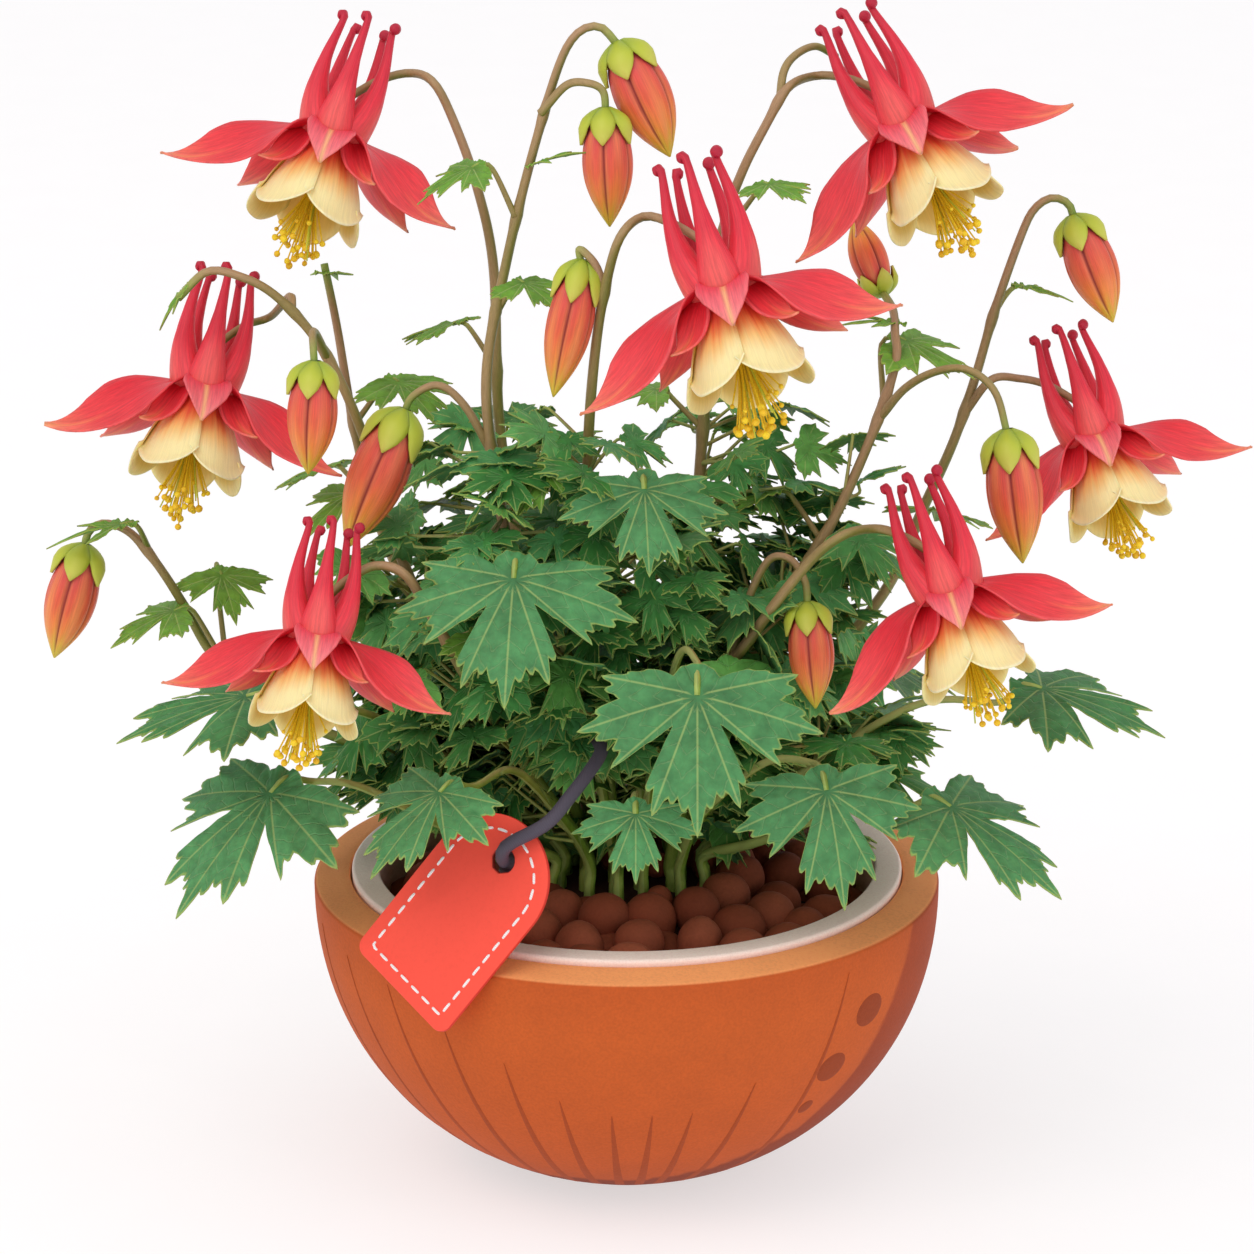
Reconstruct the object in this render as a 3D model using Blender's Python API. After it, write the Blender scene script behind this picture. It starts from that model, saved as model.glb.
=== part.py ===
"""A red and yellow columbine in its round terracotta bowl, about 290 mm tall.

Sizes and places are in millimetres and turned to metres as each mesh is made. The origin is the middle of the
bowl's flat foot, +Z is up and -Y is the front.
"""

from math import cos, pi, radians, sin, sqrt

import bmesh
import bpy
import numpy as np
from mathutils import Matrix, Vector
from mathutils.geometry import delaunay_2d_cdt

for old in list(bpy.data.objects):
    bpy.data.objects.remove(old, do_unlink=True)

# Driving dimensions, in millimetres unless a name says otherwise
MM = 0.001
CLEAR = 0.3
BOWL_RADIUS = 76.0
BOWL_TOP = 71.5
BOWL_FOOT_RADIUS = 27.0
BOWL_WALL = 8.8
BOWL_FLOOR = 8.0
BOWL_FULLNESS = 2.1
RIM_RISE = 1.4
LINER_WALL = 6.6
LINER_FLOOR = 5.0
LINER_PROUD = 1.4
TURNED_SIDES = 24
SHELL_STEPS = 5
BED_EDGE_DEPTH = 5.0
CROWN_RADIUS = 21.0
CROWN_TOP = 76.0
PEBBLE_RADIUS = 6.4
HOLE_DEPTH = 9.0
BLADE = 0.7
TAG_LENGTH = 50.0
TAG_WIDTH = 31.4
TAG_THICK = 1.6
TAG_CORNER = 3.0
TAG_HOLE = 5.8
CORD_DIAMETER = 3.2


def hex_colour(text):
    """The linear colour of an sRGB hex value."""
    parts = [int(text[i : i + 2], 16) / 255 for i in (0, 2, 4)]
    return [p / 12.92 if p <= 0.04045 else ((p + 0.055) / 1.055) ** 2.4 for p in parts] + [1.0]


MATERIALS = {}


def material(name, colour, roughness):
    if name not in MATERIALS:
        made = bpy.data.materials.new(name)
        made.use_nodes = True
        shader = made.node_tree.nodes["Principled BSDF"]
        shader.inputs["Base Color"].default_value = hex_colour(colour)
        shader.inputs["Roughness"].default_value = roughness
        shader.inputs["Metallic"].default_value = 0.0
        MATERIALS[name] = made
    return MATERIALS[name]


TERRACOTTA = ("terracotta", "D5601E", 0.6)
CREAM_CLAY = ("cream_clay", "F9DACB", 0.55)
FIRED_CLAY = ("fired_clay_pebble", "7A3A24", 0.85)
TAG_CARD = ("red_label", "FF5442", 0.6)
CORD_GREY = ("grey_cord", "4A4450", 0.8)
RED_PETAL = ("red_sepal", "E2303F", 0.45)
CREAM_PETAL = ("cream_petal", "FBE9A8", 0.5)
STAMEN = ("yellow_stamen", "F7D21C", 0.6)
BUD_SKIN = ("red_bud", "E0503A", 0.45)
STEM_GREEN = ("green_stem", "7C8A4A", 0.55)
LEAF_GREEN = ("green_leaf", "4F8B63", 0.5)


def add_object(name, mesh, look):
    """The mesh as a named object of the part, shaded smooth where its faces turn gently."""
    mesh.shade_smooth()
    mesh.set_sharp_from_angle(angle=radians(40))
    mesh.materials.clear()
    mesh.materials.append(material(*look))
    made = bpy.data.objects.new(name, mesh)
    bpy.context.scene.collection.objects.link(made)
    return made


def mesh_of(points, faces):
    """A mesh from points in millimetres."""
    made = bpy.data.meshes.new("piece")
    made.from_pydata([[MM * float(v) for v in p] for p in points], [], [list(map(int, f)) for f in faces])
    made.update()
    return made


def baked(mesh, *modifiers):
    """The mesh after the given modifiers, each a type and its settings."""
    helper = bpy.data.objects.new("helper", mesh)
    bpy.context.scene.collection.objects.link(helper)
    for kind, settings in modifiers:
        added = helper.modifiers.new(kind, kind)
        for key, value in settings.items():
            setattr(added, key, value)
    graph = bpy.context.evaluated_depsgraph_get()
    done = bpy.data.meshes.new_from_object(helper.evaluated_get(graph))
    bpy.data.objects.remove(helper, do_unlink=True)
    return done


def fused(meshes, cuts=(), solver="EXACT"):
    """One mesh from several closed ones, by one Boolean union on a collection, less any cuts."""
    result = meshes[0]
    for others, operation in ((meshes[1:], "UNION"), (list(cuts), "DIFFERENCE")):
        if not others:
            continue
        group = bpy.data.collections.new("helpers")
        for other in others:
            group.objects.link(bpy.data.objects.new("helper", other))
        settings = dict(operation=operation, operand_type="COLLECTION", collection=group, solver=solver)
        result = baked(result, ("BOOLEAN", settings))
        for other in list(group.objects):
            bpy.data.objects.remove(other, do_unlink=True)
        bpy.data.collections.remove(group)
    return result


def turned(profile):
    """A solid of revolution about Z: the profile's (radius, height) points spun round, closed at the axis."""
    shape = bmesh.new()
    verts = [shape.verts.new((MM * r, 0, MM * z)) for r, z in profile]
    edges = [shape.edges.new(pair) for pair in zip(verts, verts[1:])]
    bmesh.ops.spin(
        shape, geom=verts + edges, axis=(0, 0, 1), cent=(0, 0, 0), angle=2 * pi, steps=TURNED_SIDES,
        use_merge=True
    )
    bmesh.ops.remove_doubles(shape, verts=shape.verts, dist=1e-6)
    bmesh.ops.dissolve_degenerate(shape, edges=shape.edges, dist=1e-7)
    bmesh.ops.recalc_face_normals(shape, faces=shape.faces)
    made = bpy.data.meshes.new("turned")
    shape.to_mesh(made)
    shape.free()
    return made


def smooth_path(points, count):
    """Evenly spaced points on the Catmull-Rom curve through the given ones."""
    p = np.array(points, float)
    p = np.vstack([2 * p[0] - p[1], p, 2 * p[-1] - p[-2]])
    t = np.linspace(0, 1, 9)[:-1, None]
    dense = []
    for a, b, c, d in zip(p, p[1:], p[2:], p[3:]):
        dense.append(0.5 * (2 * b + (c - a) * t + (2 * a - 5 * b + 4 * c - d) * t**2 + (3 * b - a - 3 * c + d) * t**3))
    dense = np.vstack(dense + [p[-2:-1]])
    along = np.concatenate([[0], np.cumsum(np.linalg.norm(np.diff(dense, axis=0), axis=1))])
    want = np.linspace(0, along[-1], count)
    return np.stack([np.interp(want, along, dense[:, k]) for k in range(3)], axis=1)


def tube(points, start_radius, end_radius, count, resolution=1):
    """A round tapering stalk: a bevelled curve with filled caps."""
    route = smooth_path(points, count)
    curve = bpy.data.curves.new("stalk", "CURVE")
    curve.dimensions = "3D"
    curve.bevel_depth = MM
    curve.bevel_resolution = resolution
    curve.use_fill_caps = True
    spline = curve.splines.new("POLY")
    spline.points.add(count - 1)
    for i, place in enumerate(route):
        spline.points[i].co = (*(MM * place), 1)
        spline.points[i].radius = start_radius + (end_radius - start_radius) * i / (count - 1)
    helper = bpy.data.objects.new("stalk", curve)
    bpy.context.scene.collection.objects.link(helper)
    graph = bpy.context.evaluated_depsgraph_get()
    made = bpy.data.meshes.new_from_object(helper.evaluated_get(graph))
    bpy.data.objects.remove(helper, do_unlink=True)
    return welded(made)


def welded(mesh):
    shape = bmesh.new()
    shape.from_mesh(mesh)
    bmesh.ops.remove_doubles(shape, verts=shape.verts, dist=1e-6)
    bmesh.ops.recalc_face_normals(shape, faces=shape.faces)
    shape.to_mesh(mesh)
    shape.free()
    return mesh


def sheet(rows, thick=BLADE, loop=False):
    """A thin wall of even thickness on a grid of points, split into triangles alike on both faces. A row of
    one point is a pointed end, and with loop each row closes on itself."""
    points, starts = [], []
    for row in rows:
        starts.append(len(points))
        points.extend(row)
    faces = []
    for i, (lower, upper) in enumerate(zip(rows, rows[1:])):
        a, b = starts[i], starts[i + 1]
        n = max(len(lower), len(upper))
        for k in range(n if loop else n - 1):
            j = (k + 1) % n
            if len(upper) == 1:
                faces.append((a + k, a + j, b))
            elif len(lower) == 1:
                faces.append((a, b + j, b + k))
            else:
                faces += [(a + k, a + j, b + j), (a + k, b + j, b + k)]
    return baked(mesh_of(points, faces), ("SOLIDIFY", dict(thickness=MM * thick, offset=0.0)))


def cone(place, low_radius, high_radius, height, sides):
    """An upright cone or cylinder about a point."""
    shape = bmesh.new()
    bmesh.ops.create_cone(
        shape, cap_ends=True, segments=sides, radius1=MM * low_radius, radius2=MM * high_radius,
        depth=MM * height,
        matrix=Matrix.Translation([MM * float(v) for v in place]),
    )
    made = bpy.data.meshes.new("cone")
    shape.to_mesh(made)
    shape.free()
    return made


def basis(origin, x_axis, y_axis, z_axis):
    """A function that carries local (x, y, z) points to the frame with these axes."""
    axes = np.array([x_axis, y_axis, z_axis], float)
    return lambda points: np.asarray(points, float) @ axes + np.array(origin, float)


def placed(mesh, to_frame):
    """The mesh with its points carried to a frame, from millimetres about the frame's own origin."""
    points = np.empty(3 * len(mesh.vertices), np.float32)
    mesh.vertices.foreach_get("co", points)
    moved = to_frame(points.reshape(-1, 3) / MM) * MM
    mesh.vertices.foreach_set("co", moved.astype(np.float32).ravel())
    mesh.update()
    return mesh


# Round terracotta bowl: one turned shell with a flat foot and a flat rim that rises a little inwards
def shell_curve(radius, top, low, count, foot=0.0):
    """Points up one side of a bowl, from the foot's radius at the low height: (r/R)^n + (d/D)^n = 1."""
    depth = (top - low) / (1 - (foot / radius) ** BOWL_FULLNESS) ** (1 / BOWL_FULLNESS)
    heights = top - (top - low) * np.cos(np.linspace(0, pi / 2, count))
    sides = radius * np.clip(1 - ((top - heights) / depth) ** BOWL_FULLNESS, 0, 1) ** (1 / BOWL_FULLNESS)
    return list(zip(sides, heights))


SEAT_RADIUS = BOWL_RADIUS - BOWL_WALL
SEAT_TOP = BOWL_TOP + RIM_RISE
LINER_RADIUS = SEAT_RADIUS - CLEAR
LINER_TOP = SEAT_TOP + LINER_PROUD
LINER_LOW = BOWL_FLOOR + CLEAR
BED_RADIUS = LINER_RADIUS - LINER_WALL - CLEAR
BED_LOW = LINER_LOW + LINER_FLOOR + CLEAR

outside = [(0, 0), (BOWL_FOOT_RADIUS - 1, 0)] + shell_curve(BOWL_RADIUS, BOWL_TOP - 1, 0.8, 6,
                                                            BOWL_FOOT_RADIUS)
inside = shell_curve(SEAT_RADIUS, SEAT_TOP, BOWL_FLOOR, SHELL_STEPS)
add_object("bowl", turned(outside + [(BOWL_RADIUS - 0.9, BOWL_TOP)] + inside[::-1]), TERRACOTTA)

# Cream inner pot, standing a little above the bowl's rim
outside = shell_curve(LINER_RADIUS, LINER_TOP, LINER_LOW, SHELL_STEPS)
inside = shell_curve(LINER_RADIUS - LINER_WALL, LINER_TOP, LINER_LOW + LINER_FLOOR, SHELL_STEPS)
add_object("liner", turned(outside + inside[::-1]), CREAM_CLAY)

# Clay pebbles: a heaped bed that fills the liner, with pebbles raised all over its top round the crown
FEET = {
    "stem_left": (-10, 1),
    "stem_top_left": (-8, 9),
    "stem_far_left": (-15, 5),
    "stem_tall_left": (-13, 13),
    "stem_centre": (-3, -4),
    "stem_top_right": (4, 4),
    "stem_right": (13, 0),
    "stem_low_right": (11, -7),
    "stem_far_right": (11, 8),
    "stem_low_left": (-10, -7),
    "stem_side_left": (-20, 4),
    "leaf_front": (4, -15),
    "leaf_front_left": (-9, -15),
    "leaf_front_right": (13, -14),
    "leaf_middle_left": (-3, -11),
    "leaf_left": (-16, -4),
    "leaf_low_left": (-18, -10),
    "leaf_right": (19, -3),
    "leaf_low_right": (19, -9),
    "leaf_back_left": (-18, 11),
    "leaf_back": (-3, 19),
    "leaf_back_right": (14, 14),
    "leaf_middle": (3, -8),
    "leaf_small_front": (-2, -18),
}
FOOT_RADIUS = 1.7


def bed_height(radius):
    """The height of the bed's smooth top, domed from the liner's wall to the crown."""
    edge = LINER_TOP - BED_EDGE_DEPTH - PEBBLE_RADIUS * 0.45
    return edge + (CROWN_TOP - edge) * (0.5 + 0.5 * cos(pi * min(1.0, radius / BED_RADIUS)))


def pebble_bed():
    """The bed's solid: its sides follow the liner, and its top is split into triangles between the points of
    each pebble, a high middle, five shoulders and five points in the gaps round it."""
    centres = []
    for ring, (ring_radius, number) in enumerate(PEBBLE_RINGS):
        for k in range(number):
            seed = ring * 31 + k
            around = 2 * pi * (k + 0.5 * (ring % 2)) / number + 0.05 * sin(seed * 5.1)
            out = ring_radius + 1.0 * sin(seed * 3.3)
            centres.append((out * cos(around), out * sin(around),
                            PEBBLE_RADIUS * (0.95 + 0.08 * sin(seed * 1.9))))
    top = [(x, y, 0.62 * r + 0.9 * sin(2.7 * i)) for i, (x, y, r) in enumerate(centres)]
    for i, (x, y, r) in enumerate(centres):
        for reach, rise in ((0.62, 0.42), (1.04, -0.25)):
            for k in range(5):
                q = (k + 0.5 * (reach > 1)) * 2 * pi / 5 + 1.3 * i
                spot = (x + reach * r * cos(q), y + reach * r * sin(q),
                        rise * r + 0.9 * sin(2.7 * i) * (reach < 1))
                near = min((Vector(spot[:2]) - Vector(other[:2])).length for other in top)
                away = Vector(spot[:2]).length
                if near > 3.3 and CROWN_RADIUS + 1 < away < BED_RADIUS - 2.2:
                    top.append(spot)
    edge_radius = BED_RADIUS - 1.6
    edge_height = bed_height(edge_radius) - 1.5
    rings = [(CROWN_RADIUS, 12), (edge_radius, TURNED_SIDES)]
    for radius, number in rings:
        for k in range(number):
            q = 2 * pi * k / number
            top.append((radius * cos(q), radius * sin(q), 0.0 if radius < edge_radius else -1.5))
    flat = [Vector((x, y)) for x, y, _ in top]
    faces = delaunay_2d_cdt(flat, [], [], 0, 1e-4)[2]
    points = [(x, y, bed_height(Vector((x, y)).length) + rise) for x, y, rise in top]
    first = len(points) - TURNED_SIDES
    low_rings = shell_curve(BED_RADIUS, LINER_TOP, BED_LOW, SHELL_STEPS)[1:]
    low_rings = [p for p in low_rings if p[1] < edge_height - 4]
    for radius, height in low_rings[::-1]:
        start = len(points)
        points += [(radius * cos(2 * pi * k / TURNED_SIDES), radius * sin(2 * pi * k / TURNED_SIDES), height)
                   for k in range(TURNED_SIDES)]
        for k in range(TURNED_SIDES):
            j = (k + 1) % TURNED_SIDES
            faces.append((first + k, start + k, start + j, first + j))
        first = start
    points.append((0, 0, BED_LOW))
    faces += [(first + (k + 1) % TURNED_SIDES, first + k, len(points) - 1) for k in range(TURNED_SIDES)]
    return welded(mesh_of(points, faces))


PEBBLE_RINGS = ((27.5, 14), (38.5, 19), (49.5, 25))
wide = FOOT_RADIUS + 1.2
holes = [cone((x, y, CROWN_TOP - HOLE_DEPTH + 12), wide, wide, 24, 6) for x, y in FEET.values()]
add_object("clay_pebbles", fused([pebble_bed()], holes), FIRED_CLAY)

# Hang tag: a card with one round end, leaning on the bowl's rim at the front left
TAG_TURN = radians(28)
TAG_STEEP = radians(68)
TAG_ROLL = radians(31.7)
TAG_UP_RIM = 21.5
across = np.array([cos(TAG_TURN), -sin(TAG_TURN), 0])
upward = np.array([sin(TAG_TURN) * cos(TAG_STEEP), cos(TAG_TURN) * cos(TAG_STEEP), sin(TAG_STEEP)])
facing = np.cross(across, upward)
touch = np.array([-BOWL_RADIUS * sin(TAG_TURN), -BOWL_RADIUS * cos(TAG_TURN), BOWL_TOP])
tag_long = cos(TAG_ROLL) * upward + sin(TAG_ROLL) * across
tag_wide = cos(TAG_ROLL) * across - sin(TAG_ROLL) * upward
tag_round = touch + facing * 0.35 + upward * TAG_UP_RIM + across * 0.5
TAG_HOLE_OUT = 6.0


def arc(cx, cy, radius, start, end, steps):
    turns = np.radians(np.linspace(start, end, steps))
    return [(cx + radius * cos(t), cy + radius * sin(t)) for t in turns]


half = TAG_WIDTH / 2
foot = -(TAG_LENGTH - half)
outline = arc(0, 0, half, 0, 180, 13)
outline += arc(-half + TAG_CORNER, foot + TAG_CORNER, TAG_CORNER, 180, 270, 4)
outline += arc(half - TAG_CORNER, foot + TAG_CORNER, TAG_CORNER, 270, 360, 4)
shape = bmesh.new()
plate = shape.faces.new([shape.verts.new((MM * x, MM * y, 0)) for x, y in outline])
grown = bmesh.ops.extrude_face_region(shape, geom=[plate])
for vert in [v for v in grown["geom"] if isinstance(v, bmesh.types.BMVert)]:
    vert.co.z += MM * TAG_THICK
bmesh.ops.recalc_face_normals(shape, faces=shape.faces)
card = bpy.data.meshes.new("card")
shape.to_mesh(card)
shape.free()
punch = cone((0, TAG_HOLE_OUT, 0), TAG_HOLE / 2, TAG_HOLE / 2, 9, 14)
tag_frame = basis(tag_round, tag_wide, tag_long, facing)
add_object("tag", placed(fused([card], [punch]), tag_frame), TAG_CARD)

# Grey cord: out through the tag's hole, over its round end and up to a turn round a leaf stalk near the crown
tag_hole = tag_frame([(0, TAG_HOLE_OUT, TAG_THICK / 2)])[0]
CORD_ROUTE = [
    tag_hole - facing * 6.0 - tag_long * 1.0,
    tag_hole - facing * 2.6,
    tag_hole + facing * 1.4 + tag_long * 0.3,
    tag_hole + facing * 4.6 + tag_long * 3.6,
    (-18.5, -64.5, 107.0),
    (-13.0, -59.5, 112.0),
    (-8.5, -53.0, 116.0),
    (-6.0, -44.0, 117.5),
    (-7.0, -34.0, 117.0),
    (-10.3, -23.6, 119.0),
]
curve = bpy.data.curves.new("cord", "CURVE")
curve.dimensions = "3D"
curve.bevel_depth = MM * CORD_DIAMETER / 2
curve.bevel_resolution = 1
curve.use_fill_caps = True
spline = curve.splines.new("POLY")
CORD_POINTS = 16
spline.points.add(CORD_POINTS - 1)
for point, place in zip(spline.points, smooth_path(CORD_ROUTE, CORD_POINTS)):
    point.co = (*(MM * place), 1)
curve.materials.append(material(*CORD_GREY))
bpy.context.scene.collection.objects.link(bpy.data.objects.new("cord", curve))

# Open flowers: five red spurs and five red sepals on a small heart, a bell of five cream blades, stamens
BLOOMS = {
    "top_left": ((-70, 25, 249), -16, 30, -6, 0.94),
    "top_right": ((65, 15, 253), 27, 28, 4, 0.97),
    "left": ((-101, 10, 191), -14, 30, 4, 0.93),
    "centre": ((22, -40, 227), 17, 28, 0, 1.0),
    "right": ((112, 15, 177), 16, 30, 6, 0.88),
    "low_left": ((-71, -55, 149), -9, 32, 0, 0.86),
    "low_right": ((74, -50, 158), 20, 28, 0, 0.9),
}
SPUR_LENGTH = 31.0
SPURS = (0, 72, 144, -144, -72)
SEPALS = ((-70, 34, 46, 15, -48), (68, 30, 45, 15, 48), (-142, 22, 37, 14, 0), (140, 20, 37, 14, 0),
          (2, 52, 20, 12.6, 0))
FRONT_SEPAL_TURN = 2
HEART_TOP = 3.6
BELL_TOP = -2.3
BELL_DEPTH = 23.5
STAMEN_COUNT = 4


def bloom_frame(heart, lean, nod, turn, size):
    """Local +z runs back along the spurs and -z out of the bell, -y is the side turned to the front."""
    a, b, c = radians(lean), radians(nod), radians(turn)
    rotation = Matrix.Rotation(-a, 3, "Y") @ Matrix.Rotation(c, 3, "Z") @ Matrix.Rotation(-b, 3, "X")
    x, y, z = (np.array(rotation @ Vector(v)) * size for v in ((1, 0, 0), (0, 1, 0), (0, 0, 1)))
    return basis(heart, x, y, z)


def sepal(angle, droop, length, width, roll, stations=((0.0, 0.36), (0.3, 0.93), (0.65, 0.84))):
    """A pointed oval blade, cupped across. Its midline leaves the heart level, dives and levels out again at
    the tip, except the front one's, which arches ever more downwards; roll turns its face to the front."""
    a = radians(angle)
    out = np.array([sin(a), -cos(a), 0])
    cross_way = np.array([cos(a), sin(a), 0])
    steps = np.linspace(0, 1, 21)
    hanging = angle == FRONT_SEPAL_TURN
    slope = radians(droop) * (1.75 * steps if hanging else 0.12 + 1.2 * np.sin(pi * steps))
    reach = 1.5 + np.concatenate([[0], np.cumsum(np.cos(slope[1:]))]) * length / 20
    fall = np.concatenate([[0], np.cumsum(np.sin(slope[1:]))]) * length / 20
    rows = []
    for t, share in stations:
        i = int(round(20 * t))
        middle = out * reach[i] - np.array([0, 0, fall[i] - 0.6])
        turned_by = radians(roll) * min(1.0, t / 0.65)
        up = out * sin(slope[i]) + np.array([0, 0, cos(slope[i])])
        edge = (cross_way * cos(turned_by) + up * sin(turned_by)) * width / 2 * share
        lift = (up * cos(turned_by) - cross_way * sin(turned_by)) * 0.12 * width * share
        rows.append([middle - edge + lift, middle, middle + edge + lift])
    rows.append([out * reach[-1] - np.array([0, 0, fall[-1] - 0.6])])
    return rows


def spur(angle):
    """A hollow-looking trumpet seen from outside: wide at the heart, slim and knobbed at its end."""
    a = radians(angle)
    out = np.array([sin(a), -cos(a), 0])
    path = [out * 4.2 + np.array([0, 0, -1.2]), out * 7.2 + np.array([0, 0, 8]),
            out * 8.0 + np.array([0, 0, 18]), out * 6.6 + np.array([0, 0, SPUR_LENGTH])]
    rings = ((0.0, 4.3), (0.35, 2.4), (0.925, 0.95), (0.955, 1.6), (1.0, 1.1))
    line = smooth_path(path, 41)
    side_way = np.cross(out, [0, 0, 1])
    points, faces = [], []
    for along, radius in rings:
        middle = line[int(round(along * 40))]
        points += [middle + radius * (out * cos(q) + side_way * sin(q)) for q in np.arange(5) * 2 * pi / 5]
    for i in range(len(rings) - 1):
        for k in range(5):
            j = (k + 1) % 5
            faces.append((5 * i + k, 5 * i + j, 5 * i + 5 + j, 5 * i + 5 + k))
    faces += [tuple(range(5)), tuple(range(5 * len(rings) - 5, 5 * len(rings)))]
    return welded(mesh_of(points, faces))


def bell_rows():
    """Five blades joined in a bell: the lip dips at each blade's middle, every third of 15 points round."""
    rows = []
    for t in (0.0, 0.45, 1.0):
        row = []
        for k in range(15):
            around = 2 * pi * (k + 1.5) / 15
            blade = 0.5 + 0.5 * cos(5 * around - pi)
            depth = BELL_DEPTH * (1 - 0.26 * (1 - blade) * t) * t
            radius = 5.6 + 7.2 * sin(t * pi / 2 * 0.9) + 1.0 * t * blade + 0.6 * (t == 1.0)
            row.append((radius * sin(around), -radius * cos(around), BELL_TOP - depth))
        rows.append(row)
    return rows


def stamens():
    """A slim column with a splayed brush of threads, each with an anther at its end."""
    pieces = [tube([(0, 0, -1.2 - CLEAR * 1.2), (0, 0, -23)], 1.9, 1.3, 2)]
    for k in range(STAMEN_COUNT):
        around = k * 2.4
        spread = 2.4 + 4.6 * sqrt((k + 0.5) / STAMEN_COUNT)
        end = np.array([spread * cos(around), spread * sin(around),
                        -36.5 + 0.9 * spread - 1.5 * sin(k * 1.7)])
        start = np.array([0.7 * cos(around), 0.7 * sin(around), -18.0])
        pieces += [tube([start, end], 0.55, 0.45, 2, 0), cone(end, 0.7, 1.2, 2.6, 4)]
    return fused(pieces)


def copy_of(mesh, to_frame):
    return placed(mesh.copy(), to_frame)


# The heart is the small knob that the pedicel ends on, and where sepals and spurs meet
heart = cone((0, 0, (HEART_TOP - 1.2) / 2), 5.6, 2.6, HEART_TOP + 1.2, 6)
red_parts = [heart] + [spur(angle) for angle in SPURS]
red_parts += [sheet(sepal(*row), 0.8) for row in SEPALS]
red_mesh = fused(red_parts)
bell_mesh = sheet(bell_rows(), 0.75, loop=True)
stamen_mesh = stamens()
for name, place in BLOOMS.items():
    frame = bloom_frame(*place)
    add_object("bloom_" + name, copy_of(red_mesh, frame), RED_PETAL)
    add_object("petals_" + name, copy_of(bell_mesh, frame), CREAM_PETAL)
    add_object("stamens_" + name, copy_of(stamen_mesh, frame), STAMEN)

# Buds: each a five-ribbed drop below the green cap that its own stem ends in
CAP_LENGTH = 4.6
BUDS = {
    "top_left": ((-2, 0, 276), (10, -5, 250), 13.2),
    "top_middle": ((-5, -8, 262), (-4, -12, 235), 11.6),
    "middle": ((-10, -25, 230), (-17, -30, 199), 10.6),
    "upper_left": ((-72, -25, 206), (-74, -28, 180), 11.5),
    "left": ((-52, -12, 191), (-66, -18, 159), 13.6),
    "far_left": ((-131, 15, 150), (-139, 10, 123), 12.2),
    "upper_right": ((107, 30, 228), (117, 25, 203), 12.0),
    "right": ((89, -15, 187), (93, -20, 156), 13.0),
    "low_right": ((42, -32, 150), (44, -38, 126), 10.5),
    "upright": ((62, 36, 207), (55, 42, 225), 9.0),
}


def drop_frame(top, tip):
    """A frame at the drop's top, with +z along it to its tip."""
    z_way = Vector(tip) - Vector(top)
    z_way.normalize()
    x_way = z_way.orthogonal().normalized()
    return basis(top, x_way, z_way.cross(x_way), z_way)


def ribbed(rings, sides=10, rib=0.12, point=1.2):
    """A closed solid of (height, radius) rings along +z, pinched between five ribs."""
    points, faces = [(0, 0, rings[0][0] - 0.4)], []
    for height, radius in rings:
        for k in range(sides):
            swell = radius * (1 - rib * (k % 2))
            points.append((swell * cos(2 * pi * k / sides), swell * sin(2 * pi * k / sides), height))
    points.append((0, 0, rings[-1][0] + point))
    last = len(points) - 1
    for k in range(sides):
        j = (k + 1) % sides
        faces.append((0, 1 + j, 1 + k))
        for i in range(len(rings) - 1):
            low, high = 1 + sides * i, 1 + sides * (i + 1)
            faces.append((low + k, low + j, high + j, high + k))
        faces.append((1 + sides * (len(rings) - 1) + k, 1 + sides * (len(rings) - 1) + j, last))
    return welded(mesh_of(points, faces))


def bud_cap(top, tip, width):
    """The cap: a short five-sided cup whose flat open end the bud's body meets."""
    rings = [(0.0, 0.22 * width), (1.4, 0.36 * width), (CAP_LENGTH, 0.43 * width)]
    return placed(ribbed(rings, 5, 0, 0), drop_frame(top, tip))


def in_cap(bud):
    """The last point of the stalk that carries a bud, inside its cap."""
    top, tip, _ = BUDS[bud]
    return drop_frame(top, tip)([(0, 0, 1.5)])[0]


for name, (top, tip, width) in BUDS.items():
    length = (Vector(tip) - Vector(top)).length
    body = length - CAP_LENGTH - CLEAR
    start = CAP_LENGTH + CLEAR
    shares = ((0.0, 0.38), (0.4, 0.5), (0.86, 0.2))
    rings = [(start + 0.4 + (body - 1.6) * t, width * share) for t, share in shares]
    add_object("bud_" + name, placed(ribbed(rings), drop_frame(top, tip)), BUD_SKIN)

# Leaves: three leaflets on one stalk, each cut in three toothed lobes, from a star-shaped outline
BIG_HALF = ((0, 1.0), (11, 0.74), (21, 0.88), (30, 0.72), (38, 0.28), (50, 0.8), (60, 0.7), (75, 0.92),
            (88, 0.66),
            (103, 0.72), (118, 0.42), (130, 0.22))
SMALL_HALF = ((0, 1.0), (12, 0.72), (24, 0.84), (37, 0.3), (55, 0.8), (66, 0.68), (80, 0.88), (100, 0.62),
              (128, 0.22))
BRACT_HALF = ((0, 1.0), (9, 0.55), (20, 0.26), (36, 0.62), (52, 0.24), (110, 0.14))


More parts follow.
